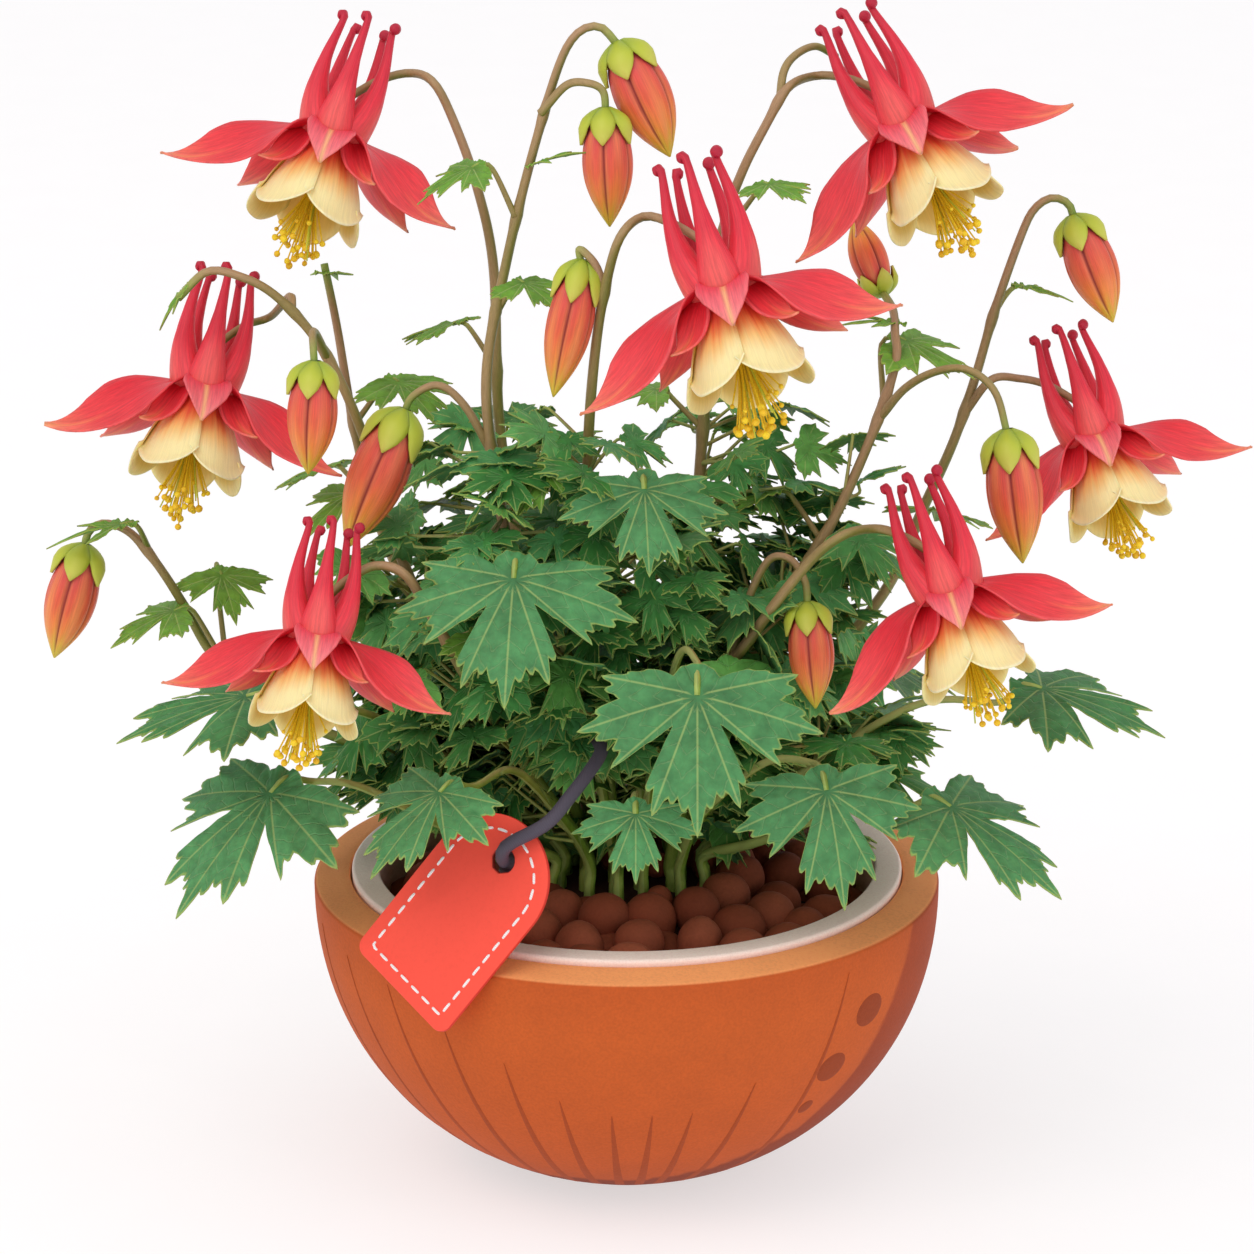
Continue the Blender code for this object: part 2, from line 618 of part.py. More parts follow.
def leaf(centre, size, heading, droop, roll=0, half=SMALL_HALF, bow=0.16):
    """A leaf blade: a fan about the stalk's end, bowed down to its tips and raised between its ribs."""
    a, p = radians(heading), radians(droop)
    tip = np.array([sin(a) * cos(p), -cos(a) * cos(p), -sin(p)])
    up = np.array([sin(a) * sin(p), -cos(a) * sin(p), cos(p)])
    side_way = np.cross(tip, up)
    q = radians(roll)
    side_way, up = side_way * cos(q) + up * sin(q), up * cos(q) - side_way * sin(q)
    star = list(half) + [(180, 0.24)] + [(-t, r) for t, r in half[:0:-1]]
    points = [(0, 0, 0)]
    for turn, reach in star:
        t = radians(turn)
        low = -bow * size * reach**2 * (1.15 if reach > 0.78 else 0.7)
        points.append((size * reach * sin(t), size * reach * cos(t), low))
    n = len(star)
    faces = [(0, 1 + (k + 1) % n, 1 + k) for k in range(n)]
    blade = baked(mesh_of(points, faces), ("SOLIDIFY", dict(thickness=MM * BLADE, offset=0.0)))
    return placed(blade, basis(centre, side_way, tip, up)), tip, up


def stalked_leaf(start, centre, size, heading, droop, roll=0, half=SMALL_HALF, lift=8.0, stalk=(1.1, 0.75),
                 count=7, via=()):
    """A leaf with the stalk that carries it from start, arching in along the leaf's own direction."""
    blade, tip, up = leaf(centre, size, heading, droop, roll, half)
    end = np.array(centre, float) - tip * 0.15 * size
    route = [start, *via, end - (tip * 0.55 + up * 0.75) * lift, end]
    return [blade, tube(route, *stalk, count, 0)]


def rooted(name, path):
    """A path that starts in its hole in the pebbles and rises straight out of it."""
    x, y = FEET[name]
    return [(x, y, CROWN_TOP - HOLE_DEPTH + CLEAR), (x, y, CROWN_TOP - 3), (x, y, CROWN_TOP + 3), *path]


def seat(bloom, gap):
    """The pedicel's last points: in between two spurs at the given angle, then down to the heart."""
    a = radians(gap)
    local = [(r * sin(a), -r * cos(a), z) for r, z in ((14, 23), (8, 19), (3, 13.5), (0, 8.5))]
    local.append((0, 0, HEART_TOP + CLEAR / BLOOMS[bloom][4]))
    return [tuple(p) for p in bloom_frame(*BLOOMS[bloom])(local)]


# Flowering stems: each one body with its side branches, bud caps, bracts and stem leaves
THIN = 0.95


def flowering_stem(name, main, count, branches=(), leaves=(), caps=()):
    pieces = [tube(rooted(name, main), FOOT_RADIUS, THIN, count, 0)]
    for path, number in branches:
        pieces.append(tube(path, 1.05, 0.85, number, 0))
    for pieces_of_leaf in leaves:
        pieces += pieces_of_leaf
    pieces += [bud_cap(*BUDS[bud]) for bud in caps]
    return pieces


GREENS = {}
GREENS["stem_left"] = flowering_stem(
    "stem_left",
    [(-18, -6, 107), (-25, -14, 143), (-30, -15, 170), (-33, -10, 198), (-28, -6, 226), (-21, -4, 254),
     (-14, -2, 275), (-7, -1, 280), in_cap("top_left")],
    13,
    branches=[
        ([(-20, -4, 260), (-14, -6, 267), (-9, -8, 268), (-5.5, -8, 266), in_cap("top_middle")], 6),
        ([(-32, -12, 181), (-38, -12, 192), (-44, -12, 197), (-50, -12, 194.5), in_cap("left")], 6),
    ],
    leaves=[
        stalked_leaf((-26, -6, 236), (-36, -6, 248), 15, -70, 20, half=SMALL_HALF, lift=4, stalk=(0.8, 0.7),
                     count=4),
        [leaf((-21, -6, 249), 14, 60, -25, half=BRACT_HALF)[0]],
        stalked_leaf((-30, -7, 214), (-24, -12, 222), 13, 40, 10, lift=3, stalk=(0.8, 0.7), count=4),
    ],
    caps=("top_left", "top_middle", "left"),
)
GREENS["stem_top_left"] = flowering_stem(
    "stem_top_left",
    [(-16, 20, 109), (-26, 25, 144), (-31, 27, 178), (-32, 28, 215), (-36, 28, 236), (-42, 29, 253),
     (-46.5, 30, 261)] + seat("top_left", 108),
    14,
    leaves=[stalked_leaf((-31, 27, 190), (-42, 30, 202), 16, -120, 15, lift=4, stalk=(0.8, 0.7), count=4)],
)
GREENS["stem_far_left"] = flowering_stem(
    "stem_far_left",
    [(-31, 9, 107), (-45, 8, 128), (-54, 6, 149), (-60, 4, 172), (-67, 3, 192), (-74, 3, 205), (-83, 3, 215),
     (-91, 3, 219.5), (-99, 4, 220.5), (-106, 4, 214)],
    14,
    branches=[
        ([(-79, 3, 211), (-80, 10, 213)] + seat("left", 108), 8),
        ([(-71, 3, 200), (-73, -6, 208), (-73, -16, 210.5), (-72.5, -23, 209), in_cap("upper_left")], 6),
    ],
    leaves=[
        [leaf((-105, 4, 216), 11, -80, 50, half=BRACT_HALF)[0]],
        stalked_leaf((-57, 5, 160), (-66, -2, 168), 15, -50, 25, lift=4, stalk=(0.8, 0.7), count=4),
    ],
    caps=("upper_left",),
)
GREENS["stem_centre"] = flowering_stem(
    "stem_centre",
    [(-6, -8, 118), (-9, -14, 155), (-9, -18, 185), (-7, -24, 211), (-4, -30, 229), (-1, -32, 238)]
    + seat("centre", -108),
    13,
    branches=[([(-5, -28, 223), (-7, -27, 229), (-9.5, -26, 232), (-11, -25, 232.5), in_cap("middle")], 5)],
    leaves=[stalked_leaf((-9, -16, 170), (-19, -26, 181), 15, -35, 30, lift=4, stalk=(0.8, 0.7), count=4)],
    caps=("middle",),
)
GREENS["stem_top_right"] = flowering_stem(
    "stem_top_right",
    [(11, 6, 103), (15, 9, 135), (18, 12, 177), (20, 13, 205), (23, 13, 229), (27, 13, 242), (33, 14, 254),
     (38, 17, 262)] + seat("top_right", -108),
    14,
    branches=[([(36, 15.5, 259), (37, 21, 265), (40, 26, 268), (45, 31, 269), (50, 34, 266)], 5)],
    leaves=[
        stalked_leaf((23, 13, 227), (33, -1, 243), 13, 40, 0, lift=4, stalk=(0.8, 0.7), count=4),
        stalked_leaf((18, 12, 180), (7, 12, 190), 14, -80, 0, lift=4, stalk=(0.8, 0.7), count=4),
    ],
)
GREENS["stem_right"] = flowering_stem(
    "stem_right",
    [(20, -7, 121), (33, -8, 140), (42, -6, 151), (50, -2, 163), (59, 5, 182), (64, 9, 197), (64, 14, 203),
     (64, 25, 206), in_cap("upright")],
    14,
    branches=[([(60, 6, 184), (66, 1, 193), (73, -6, 199), (80, -11, 200.5), (86, -14, 196),
                in_cap("right")], 6)],
    leaves=[
        stalked_leaf((61, 7, 189), (67, 20, 200), 20, 65, 15, lift=5, stalk=(0.8, 0.7), count=4),
        [leaf((64, 18, 205), 13, -80, -10, half=BRACT_HALF)[0]],
        stalked_leaf((46, -3, 157), (36, 8, 166), 16, -130, 15, lift=4, stalk=(0.8, 0.7), count=4),
    ],
    caps=("right", "upright"),
)
GREENS["stem_far_right"] = flowering_stem(
    "stem_far_right",
    [(24, 16, 95), (45, 26, 112), (63, 28, 134), (72, 28, 155), (79, 27, 172), (84, 27, 188), (89, 29, 206),
     (95, 30, 224), (98, 30, 230), (102, 30, 232.5), (106, 30, 231), in_cap("upper_right")],
    16,
    branches=[([(82, 27, 180), (88, 24, 189)] + seat("right", -108), 8)],
    leaves=[
        stalked_leaf((88, 29, 203), (96, 34, 210), 14, 110, 10, half=BRACT_HALF, lift=4, stalk=(0.8, 0.7),
                     count=4),
        stalked_leaf((68, 28, 145), (76, 40, 152), 18, 150, 20, lift=4, stalk=(0.8, 0.7), count=4),
    ],
    caps=("upper_right",),
)
GREENS["stem_low_right"] = flowering_stem(
    "stem_low_right",
    [(19, -24, 122), (30, -32, 143), (41, -37, 160), (49, -42, 169)] + seat("low_right", -108),
    12,
    branches=[([(24, -28, 133), (28, -27, 148), (33, -28, 159), (38, -30, 160), (41.5, -31.5, 155),
                in_cap("low_right")], 6)],
    leaves=[],
    caps=("low_right",),
)
GREENS["stem_low_left"] = flowering_stem(
    "stem_low_left",
    [(-24, -18, 105), (-36, -30, 128), (-45, -38, 148), (-51, -43, 160)] + seat("low_left", 108),
    12,
    leaves=[stalked_leaf((-42, -34, 141), (-34, -44, 146), 13, 30, 25, lift=4, stalk=(0.8, 0.7), count=4)],
)
GREENS["stem_side_left"] = flowering_stem(
    "stem_side_left",
    [(-30, 2, 88), (-60, 16, 96), (-88, 20, 107), (-101, 20, 120), (-108, 18, 134), (-114, 16, 145),
     (-120, 15, 153),
     (-126, 15, 155.5), (-130, 15, 153.5), in_cap("far_left")],
    14,
    leaves=[
        stalked_leaf((-116, 16, 149), (-122, 10, 157), 19, -75, 5, half=BRACT_HALF, lift=3,
                     stalk=(0.8, 0.7), count=4),
        stalked_leaf((-98, 20, 117), (-110, 14, 134), 17, -70, 15, lift=4, stalk=(0.8, 0.7), count=4),
        stalked_leaf((-98, 20, 117), (-99, 24, 140), 15, 20, 25, lift=4, stalk=(0.8, 0.7), count=4),
    ],
    caps=("far_left",),
)
GREENS["stem_tall_left"] = flowering_stem(
    "stem_tall_left",
    [(-30, 32, 100), (-50, 44, 122), (-61, 46, 145), (-67, 46, 170), (-71, 47, 196), (-74, 48, 212)],
    12,
    leaves=[
        stalked_leaf((-67, 46, 172), (-56, 42, 184), 18, 40, 15, lift=4, stalk=(0.8, 0.7), count=4),
        stalked_leaf((-63, 46, 152), (-74, 52, 160), 18, -130, 20, lift=4, stalk=(0.8, 0.7), count=4),
        [leaf((-74, 48, 210), 15, 170, 10, half=BRACT_HALF)[0]],
    ],
)


# Crown leaves: blue-green leaves on long stalks that arch out from the crown, all round the plant
def crown_leaf(name, via, *leaves):
    """One body: the first leaf on a stalk from the crown, the others on side stalks that leave it."""
    first = leaves[0]
    path = rooted(name, via)
    pieces = stalked_leaf(path[0], *first, half=BIG_HALF, via=path[1:], stalk=(FOOT_RADIUS * 0.85, 0.9),
                          count=9)
    for start, *rest in leaves[1:]:
        pieces += stalked_leaf(start, *rest, lift=5, stalk=(0.95, 0.75), count=4)
    return pieces


GREENS["leaf_front"] = crown_leaf("leaf_front", [(6, -22, 105), (12, -42, 140)], ((16, -64, 138), 32, 0, 58))
GREENS["leaf_front_left"] = crown_leaf(
    "leaf_front_left", [(-14, -24, 92), (-26, -42, 112)], ((-43, -62, 114), 25, -50, 30)
)
GREENS["leaf_front_right"] = crown_leaf(
    "leaf_front_right", [(18, -24, 95), (32, -42, 114)], ((46, -58, 113), 27, 20, 55)
)
GREENS["leaf_middle_left"] = crown_leaf(
    "leaf_middle_left", [(-10, -20, 120), (-20, -32, 155)], ((-26, -48, 161), 32, -5, 40)
)
GREENS["leaf_middle"] = crown_leaf("leaf_middle", [(4, -14, 130), (4, -26, 172)], ((4, -40, 180), 22, 5, 45))
GREENS["leaf_small_front"] = crown_leaf("leaf_small_front", [(-1, -28, 88), (1, -48, 105)],
                                        ((2, -60, 108), 17, 0, 50))
GREENS["leaf_left"] = crown_leaf(
    "leaf_left", [(-34, -2, 95), (-62, -12, 116)], ((-90, -22, 124), 33, -82, 8)
)
GREENS["leaf_low_left"] = crown_leaf(
    "leaf_low_left", [(-34, -16, 84), (-62, -26, 102)], ((-84, -34, 104), 36, -50, 32)
)
GREENS["leaf_right"] = crown_leaf("leaf_right", [(36, -10, 96), (68, -18, 120)], ((98, -22, 126), 32, 75, 8))
GREENS["leaf_low_right"] = crown_leaf(
    "leaf_low_right", [(32, -18, 86), (56, -30, 100)], ((76, -38, 102), 33, 60, 22)
)
GREENS["leaf_back_left"] = crown_leaf(
    "leaf_back_left", [(-32, 22, 92), (-52, 32, 112)], ((-68, 42, 118), 32, -140, 25),
    ((-40, 24, 100), (-52, 56, 106), 24, -160, 35),
)
GREENS["leaf_back"] = crown_leaf(
    "leaf_back", [(-4, 30, 110), (-6, 46, 140)], ((-8, 60, 146), 32, 178, 40),
    ((-4, 32, 116), (22, 44, 130), 22, 130, 25),
    ((-3, 26, 100), (-12, 64, 100), 24, -175, 35),
)
GREENS["leaf_back_right"] = crown_leaf(
    "leaf_back_right", [(24, 28, 92), (42, 44, 108)], ((58, 58, 110), 32, 140, 30),
    ((26, 30, 95), (28, 62, 98), 22, 170, 35),
)
for name, pieces in GREENS.items():
    look = STEM_GREEN if name.startswith("stem") else LEAF_GREEN
    add_object(name, fused(pieces), look)
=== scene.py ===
"""The looks of the potted columbine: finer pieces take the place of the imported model's nodes, where they are.

Sizes and places are in millimetres and turned to metres as each mesh is made. The origin is the middle of the
bowl's flat foot, +Z is up and -Y is the front.
"""

from math import cos, pi, radians, sin, sqrt

import bpy
import numpy as np
from mathutils import Matrix, Vector


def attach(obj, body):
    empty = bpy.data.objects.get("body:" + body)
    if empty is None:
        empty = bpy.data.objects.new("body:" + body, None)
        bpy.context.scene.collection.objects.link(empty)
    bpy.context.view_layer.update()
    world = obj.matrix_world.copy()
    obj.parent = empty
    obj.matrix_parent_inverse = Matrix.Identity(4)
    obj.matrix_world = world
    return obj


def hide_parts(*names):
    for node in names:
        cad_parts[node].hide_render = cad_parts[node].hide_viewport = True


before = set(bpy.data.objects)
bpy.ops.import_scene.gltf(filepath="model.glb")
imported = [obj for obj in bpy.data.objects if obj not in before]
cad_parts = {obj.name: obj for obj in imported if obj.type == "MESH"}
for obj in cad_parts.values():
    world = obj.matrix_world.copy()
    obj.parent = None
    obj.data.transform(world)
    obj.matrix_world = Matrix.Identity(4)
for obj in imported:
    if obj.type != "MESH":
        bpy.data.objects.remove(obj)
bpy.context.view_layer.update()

# Bowl: a thick hand-turned shell of orange terracotta. It is burnished outside, paler and matt on its flat
# rim, and carries strokes and dots of darker slip that run to the foot. Its colour also holds painted shade:
# the wall darkens towards the foot, with a dark crescent down its right side and a dark band round the foot.
# The rim's paleness is partly its own clay and partly painted top light. It stands on a flat foot, and the
# liner sits in it.
MM = 0.001
BOWL_RADIUS = 76.0
BOWL_TOP = 71.5
BOWL_FOOT_RADIUS = 27.0
BOWL_WALL = 8.8
BOWL_FLOOR = 8.0
BOWL_FULLNESS = 2.1
BOWL_SIDES = 288
RIM_RISE = 1.4
RIM_ROUND = 1.1
SEAT_ROUND = 0.6
FOOT_ROUND = 1.0
SLIP_RISE = 0.16
STROKE_LOW = 5.0
STROKE_HALF = 1.15
CLEAR = 0.3


def srgb(text):
    """The linear red, green and blue of an sRGB hex value, and 1 for its alpha."""
    shares = np.array([int(text[i : i + 2], 16) / 255 for i in (0, 2, 4)])
    linear = np.where(shares <= 0.04045, shares / 12.92, ((shares + 0.055) / 1.055) ** 2.4)
    return (*linear.tolist(), 1.0)


def rgb(text):
    """The linear red, green and blue of an sRGB hex value."""
    return np.array(srgb(text)[:3])


def blend(tint, text, share):
    """Linear colours moved by a share of the way towards an sRGB hex value."""
    return tint + (rgb(text) - tint) * share


def colour_at(share, stops):
    """Linear colours at an array of shares, between (place, hex) stops."""
    places = [place for place, _ in stops]
    colours = np.array([rgb(text) for _, text in stops])
    return np.stack([np.interp(share, places, colours[:, k]) for k in range(3)], axis=-1)


def step(value, low, high):
    """0 below low, 1 above high, and a smooth S between."""
    t = np.clip((value - low) / (high - low), 0, 1)
    return t * t * (3 - 2 * t)


def patch(at, tint, run=None, loop=True, ends=(False, False)):
    """A surface on a (rows, columns, 3) grid of points, facing columns x rows, with a tint and a run vector
    at each point. loop joins the last column to the first, and ends closes the first or last row by a fan to
    its middle."""
    rows, columns = at.shape[:2]
    tint = np.broadcast_to(tint, at.shape)
    run = np.zeros_like(at) if run is None else np.broadcast_to(run, at.shape)
    index = np.arange(rows * columns).reshape(rows, columns)
    left = index if loop else index[:, :-1]
    right = np.roll(index, -1, axis=1) if loop else index[:, 1:]
    faces = [np.stack([left[:-1], right[:-1], right[1:], left[1:]], axis=-1).reshape(-1, 4)]
    layers = [a.reshape(-1, 3) for a in (at, tint, run)]
    for row, wanted in zip((0, -1), ends):
        if wanted:
            grids = zip(layers, (at, tint, run))
            layers = [np.vstack([flat, grid[row].mean(axis=0)]) for flat, grid in grids]
            middle = np.full(len(left[row]), len(layers[0]) - 1)
            pair = (right[row], left[row]) if row == 0 else (left[row], right[row])
            faces.append(np.stack([*pair, middle, np.full(len(middle), -1)], axis=-1))
    return (*layers, np.vstack(faces))


def add_piece(name, patches, material, slot, *nodes):
    """One object from several patches, which rides on the one body and stands for the named nodes."""
    counts = np.cumsum([0] + [len(p[0]) for p in patches])
    at, tint, run = (np.vstack([p[k] for p in patches]) for k in range(3))
    faces = np.vstack([np.where(p[3] < 0, -1, p[3] + start) for p, start in zip(patches, counts)])
    mesh = bpy.data.meshes.new(name)
    mesh.from_pydata((at * MM).tolist(), [], [f[:3] if f[3] < 0 else f for f in faces.tolist()])
    mesh.shade_smooth()
    colours = mesh.color_attributes.new("tint", "FLOAT_COLOR", "POINT")
    colours.data.foreach_set("color", np.hstack([tint, np.ones((len(tint), 1))]).astype(np.float32).ravel())
    runs = mesh.attributes.new("run", "FLOAT_VECTOR", "POINT")
    runs.data.foreach_set("vector", run.astype(np.float32).ravel())
    mesh.materials.append(material)
    made = bpy.data.objects.new(name, mesh)
    bpy.context.scene.collection.objects.link(made)
    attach(made, "root")
    if nodes:
        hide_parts(*nodes)
    return made


def shell_curve(radius, top, low, count, foot=0.0):
    """Points up one side of a bowl, from the foot's radius at the low height: (r/R)^n + (d/D)^n = 1."""
    depth = (top - low) / (1 - (foot / radius) ** BOWL_FULLNESS) ** (1 / BOWL_FULLNESS)
    heights = top - (top - low) * np.cos(np.linspace(0, pi / 2, count))
    sides = radius * np.clip(1 - ((top - heights) / depth) ** BOWL_FULLNESS, 0, 1) ** (1 / BOWL_FULLNESS)
    return np.stack([sides, heights], axis=1)


def arc(cx, cy, radius, start, end, steps):
    """Points (x, y) on a round arc, angles in degrees."""
    turns = np.radians(np.linspace(start, end, steps))
    return np.stack([cx + radius * np.cos(turns), cy + radius * np.sin(turns)], axis=1)


def wobbled(radius, around, height, wobble=0.12):
    """The radius of a hand-turned wall: it swells and sinks three times round, a little further on with
    height."""
    return radius + wobble * np.sin(3 * around + height / 17) * np.clip(radius / 40, 0, 1)


def turned(profile, sides=144, wobble=0.12):
    """A (rows, sides, 3) grid: the (radius, height) profile spun about Z."""
    around = np.arange(sides) * 2 * pi / sides
    radius, height = profile[:, 0, None], profile[:, 1, None]
    radius = wobbled(radius, around, height, wobble)
    return np.stack([radius * np.cos(around), radius * np.sin(around), height + 0 * around], axis=-1)


def add_node(tree, kind, inputs=(), stops=(), **settings):
    """Adds a shader node. inputs maps its sockets to values or to nodes and their outputs, settings are its
    own, and stops are a ramp's (place, hex) pairs."""
    made = tree.nodes.new("ShaderNode" + kind)
    for key, value in settings.items():
        setattr(made, key, value)
    for key, value in dict(inputs).items():
        if isinstance(value, bpy.types.Node):
            value = value.outputs[0]
        if isinstance(value, bpy.types.NodeSocket):
            tree.links.new(value, made.inputs[key])
        else:
            made.inputs[key].default_value = value
    for i, (place, text) in enumerate(stops):
        stop = made.color_ramp.elements[i] if i < 2 else made.color_ramp.elements.new(place)
        stop.position, stop.color = place, srgb(text)
    return made


def remap(tree, value, low, high, start, end):
    """A node that turns a value between low and high into one between start and end."""
    return add_node(tree, "MapRange", {0: value, 1: low, 2: high, 3: start, 4: end})


def new_material(name, **constants):
    """A material with its Principled shader's constants set: returns it, its node tree and the shader."""
    made = bpy.data.materials.new(name)
    made.use_nodes = True
    shader = made.node_tree.nodes["Principled BSDF"]
    for key, value in constants.items():
        shader.inputs[key.replace("_", " ")].default_value = value
    return made, made.node_tree, shader


def link(tree, source, shader, socket):
    """Feeds a node's first output to one of the shader's sockets."""
    tree.links.new(source.outputs[0], shader.inputs[socket])


def clay_material(name, grain, mottle, roughness, pits=0.0):
    """Fired clay that reads the mesh's tint: cloudy tone 12 mm across, sand grain, and pits where they
    show."""
    made, tree, shader = new_material(name, Roughness=roughness, Specular_IOR_Level=0.35)
    here = add_node(tree, "TexCoord").outputs["Object"]
    tint = add_node(tree, "Attribute", attribute_name="tint")
    cloud = add_node(tree, "TexNoise", {"Vector": here, "Scale": 80.0, "Detail": 5.0, "Roughness": 0.6})
    sand = add_node(tree, "TexNoise", {"Vector": here, "Scale": grain, "Detail": 3.0})
    tone = remap(tree, cloud, 0.3, 0.7, 1 - mottle, 1 + mottle)
    fleck = remap(tree, sand, 0.35, 0.65, 0.94, 1.06)
    both = add_node(tree, "Math", {0: tone, 1: fleck}, operation="MULTIPLY")
    shade = add_node(tree, "VectorMath", {0: tint, "Scale": both}, operation="SCALE")
    link(tree, shade, shader, "Base Color")
    hollow = add_node(tree, "TexVoronoi", {"Vector": here, "Scale": 900.0})
    pit = remap(tree, hollow, 0.0, 0.35, -pits, 0.0)
    relief = add_node(tree, "Math", {0: sand, 1: pit}, operation="ADD")
    bump = add_node(tree, "Bump", {"Height": relief, "Strength": 0.25, "Distance": 0.0004})
    link(tree, bump, shader, "Normal")
    return made


outside = shell_curve(BOWL_RADIUS, BOWL_TOP - 1, 0.8, 40, BOWL_FOOT_RADIUS)
seat_radius, seat_top = BOWL_RADIUS - BOWL_WALL, BOWL_TOP + RIM_RISE
inside = shell_curve(seat_radius, seat_top - SEAT_ROUND, BOWL_FLOOR, 24)[::-1]
foot_edge = arc(BOWL_FOOT_RADIUS - FOOT_ROUND, FOOT_ROUND, FOOT_ROUND, -90, -20, 5)
rim = np.vstack([
    arc(BOWL_RADIUS - RIM_ROUND, BOWL_TOP - 1, RIM_ROUND, 5, 82, 6),
    [(BOWL_RADIUS - 3.5, BOWL_TOP + 0.42), (seat_radius + 2.6, seat_top - 0.36)],
    arc(seat_radius + SEAT_ROUND, seat_top - SEAT_ROUND, SEAT_ROUND, 95, 175, 5),
])
profile = np.vstack([[(4, 0), (BOWL_FOOT_RADIUS - 3, 0)], foot_edge, outside[1:], rim, inside[1:-1]])
bowl_at = turned(profile, BOWL_SIDES)
height = bowl_at[..., 2]
around = np.degrees(np.arctan2(bowl_at[..., 0], -bowl_at[..., 1]))
on_rim = np.clip((np.arange(len(profile)) - len(foot_edge) - len(outside) - 3) / 2, 0, 1)[:, None]
# Painted shade: a dark crescent down the bowl's right side, turned from the light, and a dark band round the
# foot.
painted_shade_edge = np.interp(height, (7, 9, 13, 22, 38, 55, 70), (-180, 0, 25, 44, 53, 58, 63))
painted_shade = step(around - painted_shade_edge, -0.7, 0.7) * step(-around, -170, -135) + step(-height, -8.2, -7.6)
# Painted shade: the wall's colour darkens towards the foot.
body = colour_at(height / BOWL_TOP, ((0, "AE4A14"), (0.25, "BE531A"), (0.8, "C5591D"), (1, "BF541A")))
dark = colour_at(height / BOWL_TOP, ((0, "802F0A"), (0.4, "963910"), (1, "A54114")))
body = body + (dark - body) * np.clip(painted_shade, 0, 1)[..., None]
# The flat rim is paler: partly its own paler clay, partly painted top light.
bowl_tint = blend(body, "FFA565", on_rim[..., None])
terracotta = clay_material("terracotta_burnished", 1500.0, 0.05, 0.8)
add_piece("bowl_turned", [patch(bowl_at, bowl_tint, ends=(True, True))], terracotta, "terracotta", "bowl")


def on_bowl(azimuth, heights, proud):
    """Points on the bowl's outside at azimuths from the front, in degrees, and heights, raised by proud."""
    spread = np.interp(heights, outside[:, 1], outside[:, 0])
    a = np.radians(azimuth)
    spread = wobbled(spread, a - pi / 2, heights)
    return np.stack([(spread + proud) * np.sin(a), -(spread + proud) * np.cos(a), heights + 0 * a], axis=-1)


STROKES = ((-74, 66), (-61, 64), (-48, 62), (-35, 56), (-23, 49), (-13, 40), (-3, 36), (5, 36), (13, 36),
           (25, 43), (43, 67), (96, 58), (112, 44), (128, 38), (146, 52), (163, 40), (176, 36), (-170, 36),
           (-155, 43), (-138, 56), (-121, 62), (-105, 48), (-90, 40))
slip = []
for azimuth, top in STROKES:
    t = np.linspace(0, 1, 30)[:, None]
    heights = STROKE_LOW + (top - STROKE_LOW) * t
    spread = np.interp(heights, outside[:, 1], outside[:, 0])
    wide = np.degrees(STROKE_HALF * (1 - t) ** 0.6 / spread)
    lean = 1 - 0.17 * (1 - t**1.5) * (abs(azimuth) < 80)
    side = np.linspace(-1, 1, 4)[None, :]
    at = on_bowl(azimuth * lean + wide * side, heights, SLIP_RISE - 0.14 * side**2)
    slip.append(patch(at, rgb("A34312"), loop=False))
DOTS = ((50, 54.5, 4.6), (43, 41.5, 4.3), (40.5, 30.5, 2.1))
for azimuth, middle, radius in DOTS:
    q = np.arange(32) * 2 * pi / 32
    out = np.linspace(1, 0.05, 6)[:, None]
    heights = middle - radius * out * np.cos(q)
    spread = np.interp(heights, outside[:, 1], outside[:, 0])
    azimuths = azimuth + np.degrees(radius * 1.12 * out * np.sin(q) / spread)
    at = on_bowl(azimuths, heights, SLIP_RISE - 0.24 * out**6)
    slip.append(patch(at[:, ::-1], rgb("943B10"), ends=(False, True)))
add_piece("bowl_slip_marks", slip, terracotta, "terracotta")

# Liner: the cream inner pot, a smooth slip-cast shell that stands just proud of the bowl's rim and rests on
# its floor. Its flat rim is soft-edged and nearly without grain. Its cream is painted darker low down, as
# painted shade, and paler at the top, as painted top light.
LINER_WALL = 6.6
LINER_FLOOR = 5.0
LINER_PROUD = 1.4
LINER_OUTER_ROUND = 0.9
LINER_INNER_ROUND = 0.8
LINER_RADIUS = seat_radius - CLEAR
LINER_TOP = seat_top + LINER_PROUD
LINER_LOW = BOWL_FLOOR + CLEAR
mouth_radius = LINER_RADIUS - LINER_WALL
outer = shell_curve(LINER_RADIUS, LINER_TOP - LINER_OUTER_ROUND, LINER_LOW, 24)
inner = shell_curve(mouth_radius, LINER_TOP - LINER_INNER_ROUND, LINER_LOW + LINER_FLOOR, 24)[::-1]
profile = np.vstack([
    outer[1:],
    arc(LINER_RADIUS - LINER_OUTER_ROUND, LINER_TOP - LINER_OUTER_ROUND, LINER_OUTER_ROUND, 10, 88, 6),
    arc(mouth_radius + LINER_INNER_ROUND, LINER_TOP - LINER_INNER_ROUND, LINER_INNER_ROUND, 92, 172, 6),
    inner[1:-1],
])
liner_at = turned(profile, wobble=0.05)
# Painted shade and painted top light: the cream darkens low in the liner and is palest at its rim.
shaded_and_lit_creams = ((0, "E0B49E"), (0.93, "F0C6B0"), (0.97, "FFDFD0"), (1, "FFE8DC"))
cream = colour_at(liner_at[..., 2] / LINER_TOP, shaded_and_lit_creams)
cream_clay = clay_material("cream_slip_clay", 2200.0, 0.02, 0.45)
add_piece("liner_turned", [patch(liner_at, cream, ends=(True, True))], cream_clay, "cream_clay", "liner")
